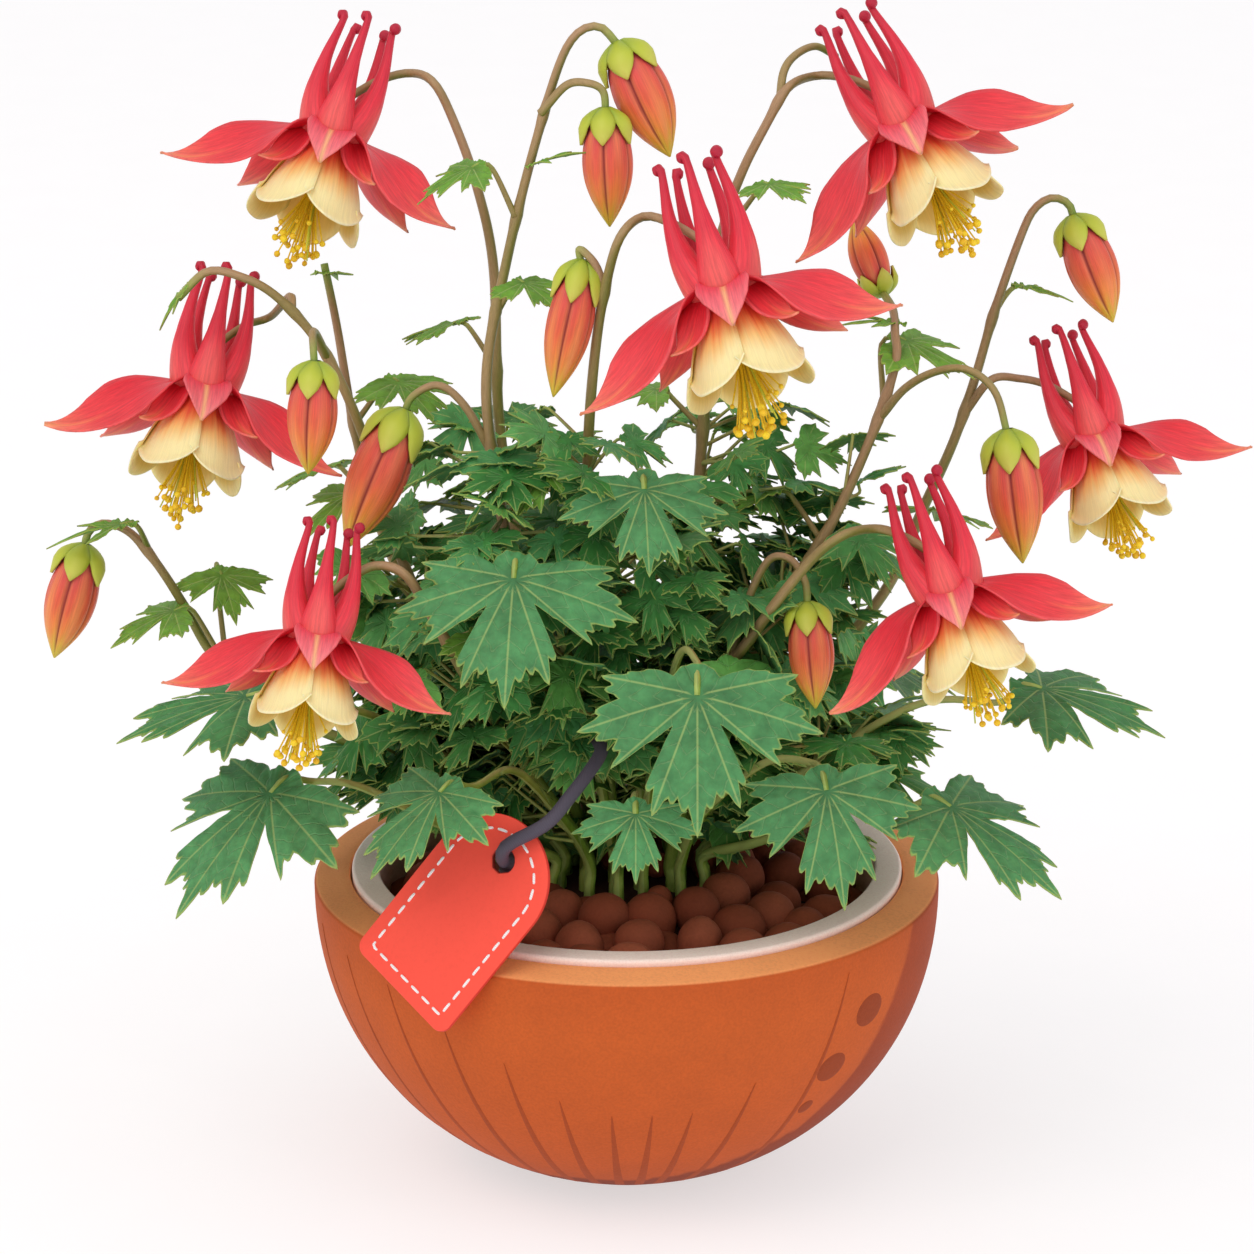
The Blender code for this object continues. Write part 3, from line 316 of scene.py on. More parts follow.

# Pebbles: fired clay balls, brown and dusty with small pits, heaped loose in the liner round the crown. A
# lower layer, given only dark browns as painted shade, shows between the top ones, over a near-black bed that
# is painted shade.
BED_EDGE_DEPTH = 5.0
CROWN_RADIUS = 21.0
CROWN_TOP = 76.0
PEBBLE_RADIUS = 6.4
PEBBLE_SUNK = 0.38
PEBBLE_RINGS = ((27.5, 14), (38.5, 19), (49.5, 25))
LOW_PEBBLE_RADIUS = 5.6
LOW_PEBBLE_RINGS = ((22.5, 11, 3.5), (33.5, 17, 5.2), (44.5, 23, 5.2), (55.2, 29, 5.0))
CROWN_TRIES = 400
BED_BELOW = 5.4
BED_RADIUS = mouth_radius - CLEAR
BED_LOW = LINER_LOW + LINER_FLOOR + CLEAR
FEET = {
    "stem_left": (-10, 1),
    "stem_top_left": (-8, 9),
    "stem_far_left": (-15, 5),
    "stem_tall_left": (-13, 13),
    "stem_centre": (-3, -4),
    "stem_top_right": (4, 4),
    "stem_right": (13, 0),
    "stem_low_right": (11, -7),
    "stem_far_right": (11, 8),
    "stem_low_left": (-10, -7),
    "stem_side_left": (-20, 4),
    "leaf_front": (4, -15),
    "leaf_front_left": (-9, -15),
    "leaf_front_right": (13, -14),
    "leaf_middle_left": (-3, -11),
    "leaf_left": (-16, -4),
    "leaf_low_left": (-18, -10),
    "leaf_right": (19, -3),
    "leaf_low_right": (19, -9),
    "leaf_back_left": (-18, 11),
    "leaf_back": (-3, 19),
    "leaf_back_right": (14, 14),
    "leaf_middle": (3, -8),
    "leaf_small_front": (-2, -18),
}
chance = np.random.default_rng(7)


def bed_height(radius):
    """The height of the bed's smooth top, domed from the liner's wall to the crown."""
    edge = LINER_TOP - BED_EDGE_DEPTH - PEBBLE_RADIUS * 0.45
    return edge + (CROWN_TOP - edge) * (0.5 + 0.5 * np.cos(pi * np.minimum(1.0, radius / BED_RADIUS)))


def ball(centre, radius, sides, rows, tint):
    """A slightly lumpy ball: a sphere whose radius swells and sinks by a few hundredths, its poles closed."""
    down = np.linspace(0.12, pi - 0.12, rows)[::-1, None]
    q = np.arange(sides) * 2 * pi / sides
    phase = chance.uniform(0, 6, 4)
    lump = 1 + 0.03 * np.sin(2 * q + phase[0]) * np.sin(down) + 0.025 * np.cos(2.2 * down + phase[1])
    lump = lump + 0.012 * np.sin(5 * q + phase[2]) * np.sin(3 * down + phase[3]) * np.sin(down)
    shape = np.stack([np.sin(down) * np.cos(q), np.sin(down) * np.sin(q), np.cos(down) + 0 * q], axis=-1)
    squash = chance.uniform(0.94, 1.05, 3)
    return patch(np.array(centre) + radius * shape * lump[..., None] * squash, tint, ends=(True, True))


def pebble_tint(shade):
    """The brown of a pebble at a shade from 0, dark, to 1."""
    return colour_at(np.array(shade), ((0, "7A3A22"), (0.5, "95492E"), (1, "A85A3E")))


top_layer = []
for ring, (ring_radius, number) in enumerate(PEBBLE_RINGS):
    for k in range(number):
        seed = ring * 31 + k
        around = 2 * pi * (k + 0.5 * (ring % 2)) / number + 0.05 * sin(seed * 5.1)
        out = ring_radius + 1.0 * sin(seed * 3.3)
        radius = PEBBLE_RADIUS * (0.95 + 0.08 * sin(seed * 1.9))
        top_layer.append((out * cos(around), out * sin(around), radius))
pebbles = []
for i, (x, y, radius) in enumerate(top_layer):
    z = bed_height(np.hypot(x, y)) - PEBBLE_SUNK * radius + 0.9 * sin(2.7 * i)
    pebbles.append(ball((x, y, z), radius, 28, 15, pebble_tint(chance.uniform(0.25, 0.9))))
# Painted shade: the lower layer takes only the darker browns.
for ring_radius, number, low in LOW_PEBBLE_RINGS:
    for k in range(number):
        q = 2 * pi * (k + 0.5) / number + chance.uniform(-0.04, 0.04)
        z = bed_height(ring_radius) - low + chance.uniform(-0.6, 0.6)
        at = (ring_radius * cos(q), ring_radius * sin(q), z - PEBBLE_SUNK * PEBBLE_RADIUS)
        pebbles.append(ball(at, LOW_PEBBLE_RADIUS, 18, 9, pebble_tint(chance.uniform(0, 0.4))))
fired_clay = clay_material("fired_clay_dusty", 1400.0, 0.16, 0.86, pits=0.5)
add_piece("pebbles_heaped", pebbles, fired_clay, "fired_clay")

crown_pebbles = []
for _ in range(CROWN_TRIES):
    x, y = chance.uniform(-CROWN_RADIUS, CROWN_RADIUS, 2)
    radius = chance.uniform(3.0, 4.6)
    apart = [np.hypot(x - cx, y - cy) - 2.4 for cx, cy in FEET.values()]
    apart += [np.hypot(x - cx, y - cy) - cr + 0.6 for cx, cy, cr, _ in crown_pebbles]
    if min(apart) > radius and np.hypot(x, y) < CROWN_RADIUS + 1:
        crown_pebbles.append((x, y, radius, chance.uniform(0.1, 0.6)))
crown = []
for x, y, radius, shade in crown_pebbles:
    crown.append(ball((x, y, bed_height(np.hypot(x, y)) - 0.55 * radius), radius, 18, 11, pebble_tint(shade)))
bed = np.stack([np.linspace(BED_RADIUS - 1.2, 2, 14)] * 2, axis=1)
bed[:, 1] = bed_height(bed[:, 0]) - BED_BELOW
low_side = shell_curve(BED_RADIUS, LINER_TOP, BED_LOW, 12)
low_side = low_side[low_side[:, 1] < bed[0, 1] - 3]
# Painted shade: a near-black bed under the pebbles, so the gaps between them read dark.
painted_shade_bed = turned(np.vstack([low_side[1:], bed]), 72, 0.0)
crown.append(patch(painted_shade_bed, rgb("3A1C13"), ends=(True, True)))
add_piece("pebble_bed", crown, fired_clay, "fired_clay", "clay_pebbles")

# Blooms' and buds' places come before the stems that carry them: each stalk ends in its bloom's heart or
# bud's cap. A bloom's row holds its heart, lean, nod, turn and size, and a bud's its top, tip and width.
BLOOMS = {
    "top_left": ((-70, 25, 249), -16, 30, -6, 0.94),
    "top_right": ((65, 15, 253), 27, 28, 4, 0.97),
    "left": ((-101, 10, 191), -14, 30, 4, 0.93),
    "centre": ((22, -40, 227), 17, 28, 0, 1.0),
    "right": ((112, 15, 177), 16, 30, 6, 0.88),
    "low_left": ((-71, -55, 149), -9, 32, 0, 0.86),
    "low_right": ((74, -50, 158), 20, 28, 0, 0.9),
}
BUDS = {
    "top_left": ((-2, 0, 276), (10, -5, 250), 13.2),
    "top_middle": ((-5, -8, 262), (-4, -12, 235), 11.6),
    "middle": ((-10, -25, 230), (-17, -30, 199), 10.6),
    "upper_left": ((-72, -25, 206), (-74, -28, 180), 11.5),
    "left": ((-52, -12, 191), (-66, -18, 159), 13.6),
    "far_left": ((-131, 15, 150), (-139, 10, 123), 12.2),
    "upper_right": ((107, 30, 228), (117, 25, 203), 12.0),
    "right": ((89, -15, 187), (93, -20, 156), 13.0),
    "low_right": ((42, -32, 150), (44, -38, 126), 10.5),
    "upright": ((62, 36, 207), (55, 42, 225), 9.0),
}
HEART_TOP = 3.6


def basis(origin, x_axis, y_axis, z_axis):
    """A function that carries local (x, y, z) points to the frame with these axes."""
    axes = np.array([x_axis, y_axis, z_axis], float)
    return lambda points: np.asarray(points, float) @ axes + np.array(origin, float)


def bloom_frame(heart, lean, nod, turn, size):
    """Local +z runs back along the spurs and -z out of the bell, -y is the side turned to the front."""
    a, b, c = radians(lean), radians(nod), radians(turn)
    rotation = Matrix.Rotation(-a, 3, "Y") @ Matrix.Rotation(c, 3, "Z") @ Matrix.Rotation(-b, 3, "X")
    x, y, z = (np.array(rotation @ Vector(v)) * size for v in ((1, 0, 0), (0, 1, 0), (0, 0, 1)))
    return basis(heart, x, y, z)


def drop_frame(top, tip):
    """A frame at the drop's top, with +z along it to its tip."""
    z_way = Vector(tip) - Vector(top)
    z_way.normalize()
    x_way = z_way.orthogonal().normalized()
    return basis(top, x_way, z_way.cross(x_way), z_way)


def seat(bloom, gap):
    """The pedicel's last points: in between two spurs at the given angle, then down to the heart."""
    a = radians(gap)
    local = [(r * sin(a), -r * cos(a), z) for r, z in ((14, 23), (8, 19), (3, 13.5), (0, 8.5))]
    local.append((0, 0, HEART_TOP - 1))
    return [tuple(p) for p in bloom_frame(*BLOOMS[bloom])(local)]


def in_cap(bud):
    """The last point of the stalk that carries a bud, inside its cap."""
    top, tip, _ = BUDS[bud]
    return drop_frame(top, tip)([(0, 0, 1.5)])[0]


# Stems: round, hairless and a little ridged, tan where the sun reaches and olive below, green at the crown
# and next to the blooms. The side turned to the light is also painted lighter, as painted light. They
# taper upwards, and swell where a branch or a leaf leaves them.
FOOT_RADIUS = 1.7
THIN = 0.95
HOLE_DEPTH = 9.0
SWELL = 0.3
SWELL_REACH = 2.6
# The way the light comes from: the side turned to it is tan and painted lighter.
TAN_AND_LIT_SIDE = np.array([-0.5, -0.35, 0.79])


def lengths_along(path):
    """The length along a path at each of its points."""
    return np.concatenate([[0], np.cumsum(np.linalg.norm(np.diff(path, axis=0), axis=1))])


def smooth_path(points, count):
    """Evenly spaced points on the Catmull-Rom curve through the given ones."""
    p = np.array(points, float)
    p = np.vstack([2 * p[0] - p[1], p, 2 * p[-1] - p[-2]])
    t = np.linspace(0, 1, 9)[:-1, None]
    dense = []
    for a, b, c, d in zip(p, p[1:], p[2:], p[3:]):
        square, cube = 2 * a - 5 * b + 4 * c - d, 3 * b - a - 3 * c + d
        dense.append(0.5 * (2 * b + (c - a) * t + square * t**2 + cube * t**3))
    dense = np.vstack(dense + [p[-2:-1]])
    along = lengths_along(dense)
    want = np.linspace(0, along[-1], count)
    return np.stack([np.interp(want, along, dense[:, k]) for k in range(dense.shape[1])], axis=1)


def tube(path, radii, sides=10, ridge=0.05):
    """A round stalk along a path: rings square to it, turned with it without twist, five faint ridges. Returns
    its points and their outward directions."""
    path = np.asarray(path, float)
    ways = np.gradient(path, axis=0)
    ways /= np.linalg.norm(ways, axis=1)[:, None]
    side = np.cross(ways[0], (0.3, 1, 0.2))
    sides_along = []
    for way in ways:
        side = side - way * (side @ way)
        side = side / np.linalg.norm(side)
        sides_along.append(side)
    across = np.array(sides_along)[:, None, :]
    upward = np.cross(ways[:, None, :], across)
    q = (np.arange(sides) * 2 * pi / sides)[None, :, None]
    out = across * np.cos(q) + upward * np.sin(q)
    return path[:, None, :] + out * (np.asarray(radii)[:, None, None] * (1 + ridge * np.cos(5 * q))), out


def stalk(route, start, end, count, swells=(), green_end=0.0, sides=10, aged=1.0):
    """A stem's surface: tapered, swollen at the given places, tan on its sunny side and green near its
    ends. That side is tan by its own colour and also painted lighter, as painted light."""
    path = smooth_path(route, count)
    t = np.linspace(0, 1, count)
    radii = start + (end - start) * t
    for place in swells:
        away = np.linalg.norm(path - np.array(place, float), axis=1)
        radii = radii * (1 + SWELL * np.exp(-((away / SWELL_REACH) ** 2)))
    at, out = tube(path, radii, sides)
    along = lengths_along(path)
    # Painted light: the side turned to the light is tan, its own colour, and lighter, which is painted light.
    tan_and_lit = step(out @ TAN_AND_LIT_SIDE + 0.25 * np.sin(along / 7)[:, None], -0.5, 0.7)
    olive = colour_at(tan_and_lit, ((0, "66761F"), (0.5, "85883A"), (1, "9C8A52")))
    tan = colour_at(tan_and_lit, ((0, "6F6A2C"), (0.45, "93744A"), (1, "B08A68")))
    fresh = colour_at(tan_and_lit, ((0, "5E8A24"), (1, "93AE48")))
    old = (step(path[:, 2], 95, 150) * (0.62 + 0.3 * np.sin(along / 19 + route[0][0])) * aged)[:, None, None]
    tint = olive + (tan - olive) * np.clip(old, 0, 1)
    young = step(along, along[-1] - green_end, along[-1]) if green_end else 0 * t
    young = np.clip(young + 1 - step(path[:, 2], 78, 112), 0, 1)[:, None, None]
    run = np.stack(np.broadcast_arrays(out[..., 0] * 2, along[:, None] * 0.2, out[..., 1] * 2), axis=-1)
    return patch(at, tint + (fresh - tint) * young * 0.85, run, ends=(True, True))


def shade_by(tree, shader, pattern, low, high, dark, light, strength, depth):
    """Scales the mesh's tint from dark to light as the pattern goes from low to high, and raises the skin by
    it."""
    tint = add_node(tree, "Attribute", attribute_name="tint")
    tone = remap(tree, pattern, low, high, dark, light)
    shade = add_node(tree, "VectorMath", {0: tint, "Scale": tone}, operation="SCALE")
    link(tree, shade, shader, "Base Color")
    bump = add_node(tree, "Bump", {"Height": pattern, "Strength": strength, "Distance": depth})
    link(tree, bump, shader, "Normal")


made_stem, tree, shader = new_material("stem_green_and_tan", Roughness=0.5, Specular_IOR_Level=0.4)
run = add_node(tree, "Attribute", attribute_name="run").outputs["Vector"]
fibre = add_node(tree, "TexNoise", {"Vector": run, "Scale": 2.6, "Detail": 4.0, "Roughness": 0.65})
shade_by(tree, shader, fibre, 0.3, 0.7, 0.84, 1.16, 0.3, 0.0003)

# Leaves: thin blue-green blades, each a fan of three leaflets cut into toothed lobes, with a pale
# yellow-green edge and veins that branch from each lobe's midrib. The veins are sunk and the blade between
# them is quilted.
BIG_HALF = ((0, 1.0), (11, 0.74), (21, 0.88), (30, 0.72), (38, 0.28), (50, 0.8), (60, 0.7), (75, 0.92),
            (88, 0.66), (103, 0.72), (118, 0.42), (130, 0.22))
SMALL_HALF = ((0, 1.0), (12, 0.72), (24, 0.84), (37, 0.3), (55, 0.8), (66, 0.68), (80, 0.88), (100, 0.62),
              (128, 0.22))
BRACT_HALF = ((0, 1.0), (9, 0.55), (20, 0.26), (36, 0.62), (52, 0.24), (110, 0.14))
# The second green is the blue-green painted a little darker, as painted shade, for crown leaves at the sides
# and back.
BLUE_GREEN, SHADED_GREEN, YOUNG_GREEN = "4F8B55", "45824A", "6B9C38"
BLADE_THICK = 0.3
BOW = 0.16
STALK_END = (180, 0.24)
CLEFT = 0.45
TOOTH_DEPTH = 0.15
TOOTH_STEP = 8.4
chance = np.random.default_rng(11)


def leaf(centre, size, heading, droop, roll=0, half=SMALL_HALF, colour=YOUNG_GREEN, fine=2.2, rings=9):
    """A leaf blade about its stalk's end. The outline r(angle) runs through the half's peaks and notches, on
    either side alike, is hollow at the deep clefts and has teeth where it is far out. The blade bows down to
    its tips, and both faces are drawn."""
    a, p, q = radians(heading), radians(droop), radians(roll)
    tip = np.array([sin(a) * cos(p), -cos(a) * cos(p), -sin(p)])
    up = np.array([sin(a) * sin(p), -cos(a) * sin(p), cos(p)])
    side_way = np.cross(tip, up)
    side_way, up = side_way * cos(q) + up * sin(q), up * cos(q) - side_way * sin(q)
    right = [*half, STALK_END]
    star = np.array([(-t, r) for t, r in right[:0:-1]] + right)
    turns = []
    for start, end in zip(star[:-1, 0], star[1:, 0]):
        turns.append(np.linspace(start, end, max(2, int(round((end - start) / fine))), endpoint=False))
    turns = np.concatenate(turns)
    place = np.interp(turns, star[:, 0], np.arange(len(star)))
    share, low = place % 1, place.astype(int)
    first, last = star[low, 1], star[np.minimum(low + 1, len(star) - 1), 1]
    share = np.where(first < CLEFT, share**1.5, np.where(last < CLEFT, 1 - (1 - share) ** 1.5, share))
    reach = first + (last - first) * share
    tops = (star[1:-1, 1] > star[:-2, 1]) & (star[1:-1, 1] > star[2:, 1])
    peaks = star[1:-1, 0][tops]
    off = turns[:, None] - peaks
    axis = peaks[np.abs(off).argmin(axis=1)]
    phase = chance.uniform(0, 6, 4)
    tooth = 1 - np.abs(np.cos(pi * np.abs(turns - axis) / TOOTH_STEP)) ** 0.8
    out = reach * (1 - TOOTH_DEPTH * step(reach, 0.4, 0.62) * tooth)
    out = out * (1 + 0.035 * np.sin(3 * np.radians(turns) + phase[0]))
    rho = np.append(np.linspace(0, 0.97, rings)[1:] ** 0.85, (1.0,))[:, None]
    r = rho * out * size
    t = np.radians(turns)
    from_rib = r * np.sin(np.abs(t - np.radians(axis)))
    along = r * np.cos(t - np.radians(axis))
    sunk = -0.3 * np.exp(-((from_rib / 0.7) ** 2)) * np.sin(pi * np.clip(rho, 0, 1)) ** 0.5
    quilt = 0.16 * np.sin((along - 0.8 * from_rib) * 2 * pi / (0.13 * size + 0.5)) * step(from_rib, 0.3, 1.6)
    wave = 0.022 * rho**3 * np.sin(t * 7 + phase[1]) + 0.012 * rho**4 * np.sin(t * 17 + phase[2])
    z = -BOW * r**2 / size * 1.12 + sunk + quilt * rho + wave * size
    flat = np.stack([r * np.sin(t), r * np.cos(t), z], axis=-1)
    under = flat[::-1] - (0, 0, BLADE_THICK)
    shade = 1 + chance.uniform(-0.09, 0.09)
    inner = (0.82 + 0.26 * step(rho, 0.0, 0.8))[..., None] * np.ones_like(flat)
    face = rgb(colour) * shade * inner
    # Painted shade: the lower face is a darker copy of the upper face's colour.
    tint = np.vstack([face, face[::-1] * 0.8 + 0.02])
    run = np.stack(np.broadcast_arrays(from_rib * (32 / size) ** 0.6, along, rho), axis=-1)
    grid = np.vstack([flat, under])
    carried = basis(centre, side_way, tip, up)(grid)
    return patch(carried, tint, np.vstack([run, run[::-1]]), ends=(True, True)), tip, up


made_leaf, tree, shader = new_material("leaf_veined", Roughness=0.55, Specular_IOR_Level=0.2,
                                       Subsurface_Weight=0.06, Subsurface_Scale=0.002)
here = add_node(tree, "TexCoord").outputs["Object"]
tint = add_node(tree, "Attribute", attribute_name="tint")
run = add_node(tree, "Attribute", attribute_name="run").outputs["Vector"]
split = add_node(tree, "SeparateXYZ", {0: run})
across, along, rho = split.outputs
rib = remap(tree, across, 0.1, 0.34, 1.0, 0.0)
slant = add_node(tree, "Math", {0: across, 1: -0.85, 2: along}, operation="MULTIPLY_ADD")
ripple = add_node(tree, "TexNoise", {"Vector": run, "Scale": 0.4, "Detail": 2.0})
bent = add_node(tree, "Math", {0: ripple, 1: 1.6, 2: slant}, operation="MULTIPLY_ADD")
beat = add_node(tree, "Math", {0: bent, 1: 2.1}, operation="PINGPONG")
vein = remap(tree, beat, 0.05, 0.34, 1.0, 0.0)
edge = remap(tree, rho, 0.965, 0.995, 0.0, 1.0)
cloud = add_node(tree, "TexNoise", {"Vector": here, "Scale": 260.0, "Detail": 6.0, "Roughness": 0.62})
tone = remap(tree, cloud, 0.3, 0.7, 0.74, 1.26)
base = add_node(tree, "VectorMath", {0: tint, "Scale": tone}, operation="SCALE")
colour = base
for drawn, strength, pale in ((vein, 0.16, "A9C98A"), (rib, 0.48, "B4C878"), (edge, 0.5, "BCC861")):
    share = add_node(tree, "Math", {0: drawn, 1: strength}, operation="MULTIPLY")
    mixed = add_node(tree, "Mix", {0: share, 6: colour, 7: srgb(pale)}, data_type="RGBA")
    colour = mixed.outputs[2]
tree.links.new(colour, shader.inputs["Base Color"])
lift = add_node(tree, "Math", {0: vein, 1: -0.5, 2: cloud}, operation="MULTIPLY_ADD")
bump = add_node(tree, "Bump", {"Height": lift, "Strength": 0.6, "Distance": 0.0006})
link(tree, bump, shader, "Normal")


def leaf_stalk(start, centre, size, tip, up, lift, thick, thin, via=(), aged=0.2):
    """The stalk that carries a leaf: it comes up to the blade's underside from behind."""
    centre = np.array(centre, float)
    behind = centre - tip * 0.15 * size
    route = [start, *via, behind - (tip * 0.55 + up * 0.75) * lift, behind - up * 0.5, centre - up * 0.5]
    return stalk(route, thick, thin, 14 + 10 * len(via), aged=aged, green_end=9.0, sides=8)


def rooted(name, path):
    """A path that starts in its hole in the pebbles and rises straight out of it."""
    x, y = FEET[name]
    return [(x, y, CROWN_TOP - HOLE_DEPTH + CLEAR), (x, y, CROWN_TOP - 3), (x, y, CROWN_TOP + 3), *path]


def bud_cap(top, tip, width):
    """The cap: five pointed yellow-green hoods round the bud's top, whose tails lie in the grooves between
    the ribs."""
    length = (Vector(tip) - Vector(top)).length
    to_frame = drop_frame(top, tip)
    v = np.linspace(0, 1, 12)[:, None]
    u = np.linspace(-1, 1, 7)[None, :]
    hoods = []
    for k in range(5):
        middle = 2 * pi * (k + 0.5) / 5
        wide = 0.66 * np.interp(v, (0, 0.35, 0.7, 1), (1.0, 1.0, 0.62, 0.04))
        z = -0.4 + (0.3 * length + 0.4) * v
        radius = width * np.interp(v, (0, 0.12, 0.3, 0.55, 1), (0.09, 0.26, 0.4, 0.475, 0.5)) + 0.5
        radius = radius + 0.55 * np.cos(u * pi / 2) * np.sin(pi * v**0.7) - 0.35 * u**2
        q = middle + wide * u
        at = np.stack(np.broadcast_arrays(radius * np.cos(q), radius * np.sin(q), z), axis=-1)
        share = np.broadcast_to(0.25 + 0.75 * v - 0.25 * np.abs(u), at.shape[:2])
        tint = colour_at(share, ((0, "8CA636"), (0.4, "B9C23A"), (0.8, "CBCB57"), (1, "C6B24A")))
        inner = at.copy()
        inner[..., :2] *= 0.93
        ring = np.concatenate([to_frame(at)[:, ::-1], to_frame(inner)], axis=1)
        # Painted shade: each hood's inner face is a darker copy of its outer colour.
        hoods.append(patch(ring, np.concatenate([tint[:, ::-1], tint * 0.7], axis=1), ends=(True, True)))
    return hoods


WALKED = []


def flowering_stem(name, main, branches=(), leaves=(), caps=()):
    """A stem with its side branches, leaves and bud caps, as one piece of stem and one of leaves."""
    swells = [path[0] for path in branches] + [row[0] for row in leaves if row[0] is not None]
    greens = [stalk(rooted(name, main), FOOT_RADIUS, THIN, 110, swells, green_end=12.0)]
    WALKED.append(smooth_path(rooted(name, main), 60))
    blades = []
    for path in branches:
        greens.append(stalk(path, 1.05, 0.85, 50, swells[len(branches):], green_end=10.0))
    for start, centre, size, heading, droop, half, lift in leaves:
        blade, tip, up = leaf(centre, size, heading, droop, half=half, rings=8, fine=2.6)
        blades.append(blade)
        if start is not None:
            greens.append(leaf_stalk(start, centre, size, tip, up, lift, 0.8, 0.55))
    for bud in caps:
        greens += bud_cap(*BUDS[bud])
    add_piece(name + "_round", greens, made_stem, "green_stem", name)
    if blades:
        add_piece(name + "_leaves", blades, made_leaf, "green_leaf")


flowering_stem(
    "stem_left",
    [(-18, -6, 107), (-25, -14, 143), (-30, -15, 170), (-33, -10, 198), (-28, -6, 226), (-21, -4, 254),
     (-14, -2, 275), (-7, -1, 280), in_cap("top_left")],
    branches=[
        [(-20, -4, 260), (-14, -6, 267), (-9, -8, 268), (-5.5, -8, 266), in_cap("top_middle")],
        [(-32, -12, 181), (-38, -12, 192), (-44, -12, 197), (-50, -12, 194.5), in_cap("left")],
    ],
    leaves=[
        ((-26, -6, 236), (-36, -6, 248), 15, -70, 20, SMALL_HALF, 4),
        (None, (-21, -6, 249), 14, 60, -25, BRACT_HALF, 0),
        ((-30, -7, 214), (-24, -12, 222), 13, 40, 10, SMALL_HALF, 3),
    ],
    caps=("top_left", "top_middle", "left"),
)
flowering_stem(
    "stem_top_left",
    [(-16, 20, 109), (-26, 25, 144), (-31, 27, 178), (-32, 28, 215), (-36, 28, 236), (-42, 29, 253),
     (-46.5, 30, 261)] + seat("top_left", 108),
    leaves=[((-31, 27, 190), (-42, 30, 202), 16, -120, 15, SMALL_HALF, 4)],
)
flowering_stem(
    "stem_far_left",
    [(-31, 9, 107), (-45, 8, 128), (-54, 6, 149), (-60, 4, 172), (-67, 3, 192), (-74, 3, 205), (-83, 3, 215),
     (-91, 3, 219.5), (-99, 4, 220.5), (-106, 4, 214)],
    branches=[
        [(-79, 3, 211), (-80, 10, 213)] + seat("left", 108),
        [(-71, 3, 200), (-73, -6, 208), (-73, -16, 210.5), (-72.5, -23, 209), in_cap("upper_left")],
    ],
    leaves=[
        (None, (-105, 4, 216), 11, -80, 50, BRACT_HALF, 0),
        ((-57, 5, 160), (-66, -2, 168), 15, -50, 25, SMALL_HALF, 4),
    ],
    caps=("upper_left",),
)
flowering_stem(
    "stem_centre",
    [(-6, -8, 118), (-9, -14, 155), (-9, -18, 185), (-7, -24, 211), (-4, -30, 229), (-1, -32, 238)]
    + seat("centre", -108),
    branches=[[(-5, -28, 223), (-7, -27, 229), (-9.5, -26, 232), (-11, -25, 232.5), in_cap("middle")]],
    leaves=[((-9, -16, 170), (-19, -26, 181), 15, -35, 30, SMALL_HALF, 4)],
    caps=("middle",),
)
flowering_stem(
    "stem_top_right",
    [(11, 6, 103), (15, 9, 135), (18, 12, 177), (20, 13, 205), (23, 13, 229), (27, 13, 242), (33, 14, 254),
     (38, 17, 262)] + seat("top_right", -108),
    branches=[[(36, 15.5, 259), (37, 21, 265), (40, 26, 268), (45, 31, 269), (50, 34, 266)]],
    leaves=[
        ((23, 13, 227), (33, -1, 243), 13, 40, 0, SMALL_HALF, 4),
        ((18, 12, 180), (7, 12, 190), 14, -80, 0, SMALL_HALF, 4),
    ],
)
flowering_stem(
    "stem_right",
    [(20, -7, 121), (33, -8, 140), (42, -6, 151), (50, -2, 163), (59, 5, 182), (64, 9, 197), (64, 14, 203),
     (64, 25, 206), in_cap("upright")],
    branches=[[(60, 6, 184), (66, 1, 193), (73, -6, 199), (80, -11, 200.5), (86, -14, 196), in_cap("right")]],
    leaves=[
        ((61, 7, 189), (67, 20, 200), 20, 65, 15, SMALL_HALF, 5),
        (None, (64, 18, 205), 13, -80, -10, BRACT_HALF, 0),
        ((46, -3, 157), (36, 8, 166), 16, -130, 15, SMALL_HALF, 4),
    ],
    caps=("right", "upright"),
)
flowering_stem(
    "stem_far_right",
    [(24, 16, 95), (45, 26, 112), (63, 28, 134), (72, 28, 155), (79, 27, 172), (84, 27, 188), (89, 29, 206),
     (95, 30, 224), (98, 30, 230), (102, 30, 232.5), (106, 30, 231), in_cap("upper_right")],
    branches=[[(82, 27, 180), (88, 24, 189)] + seat("right", -108)],
    leaves=[
        ((88, 29, 203), (96, 34, 210), 14, 110, 10, BRACT_HALF, 4),
        ((68, 28, 145), (76, 40, 152), 18, 150, 20, SMALL_HALF, 4),
    ],
    caps=("upper_right",),
)
flowering_stem(
    "stem_low_right",
    [(19, -24, 122), (30, -32, 143), (41, -37, 160), (49, -42, 169)] + seat("low_right", -108),
    branches=[[(24, -28, 133), (28, -27, 148), (33, -28, 159), (38, -30, 160), (41.5, -31.5, 155),
               in_cap("low_right")]],
    caps=("low_right",),
)
flowering_stem(
    "stem_low_left",
    [(-24, -18, 105), (-36, -30, 128), (-45, -38, 148), (-51, -43, 160)] + seat("low_left", 108),
    leaves=[((-42, -34, 141), (-34, -44, 146), 13, 30, 25, SMALL_HALF, 4)],
)
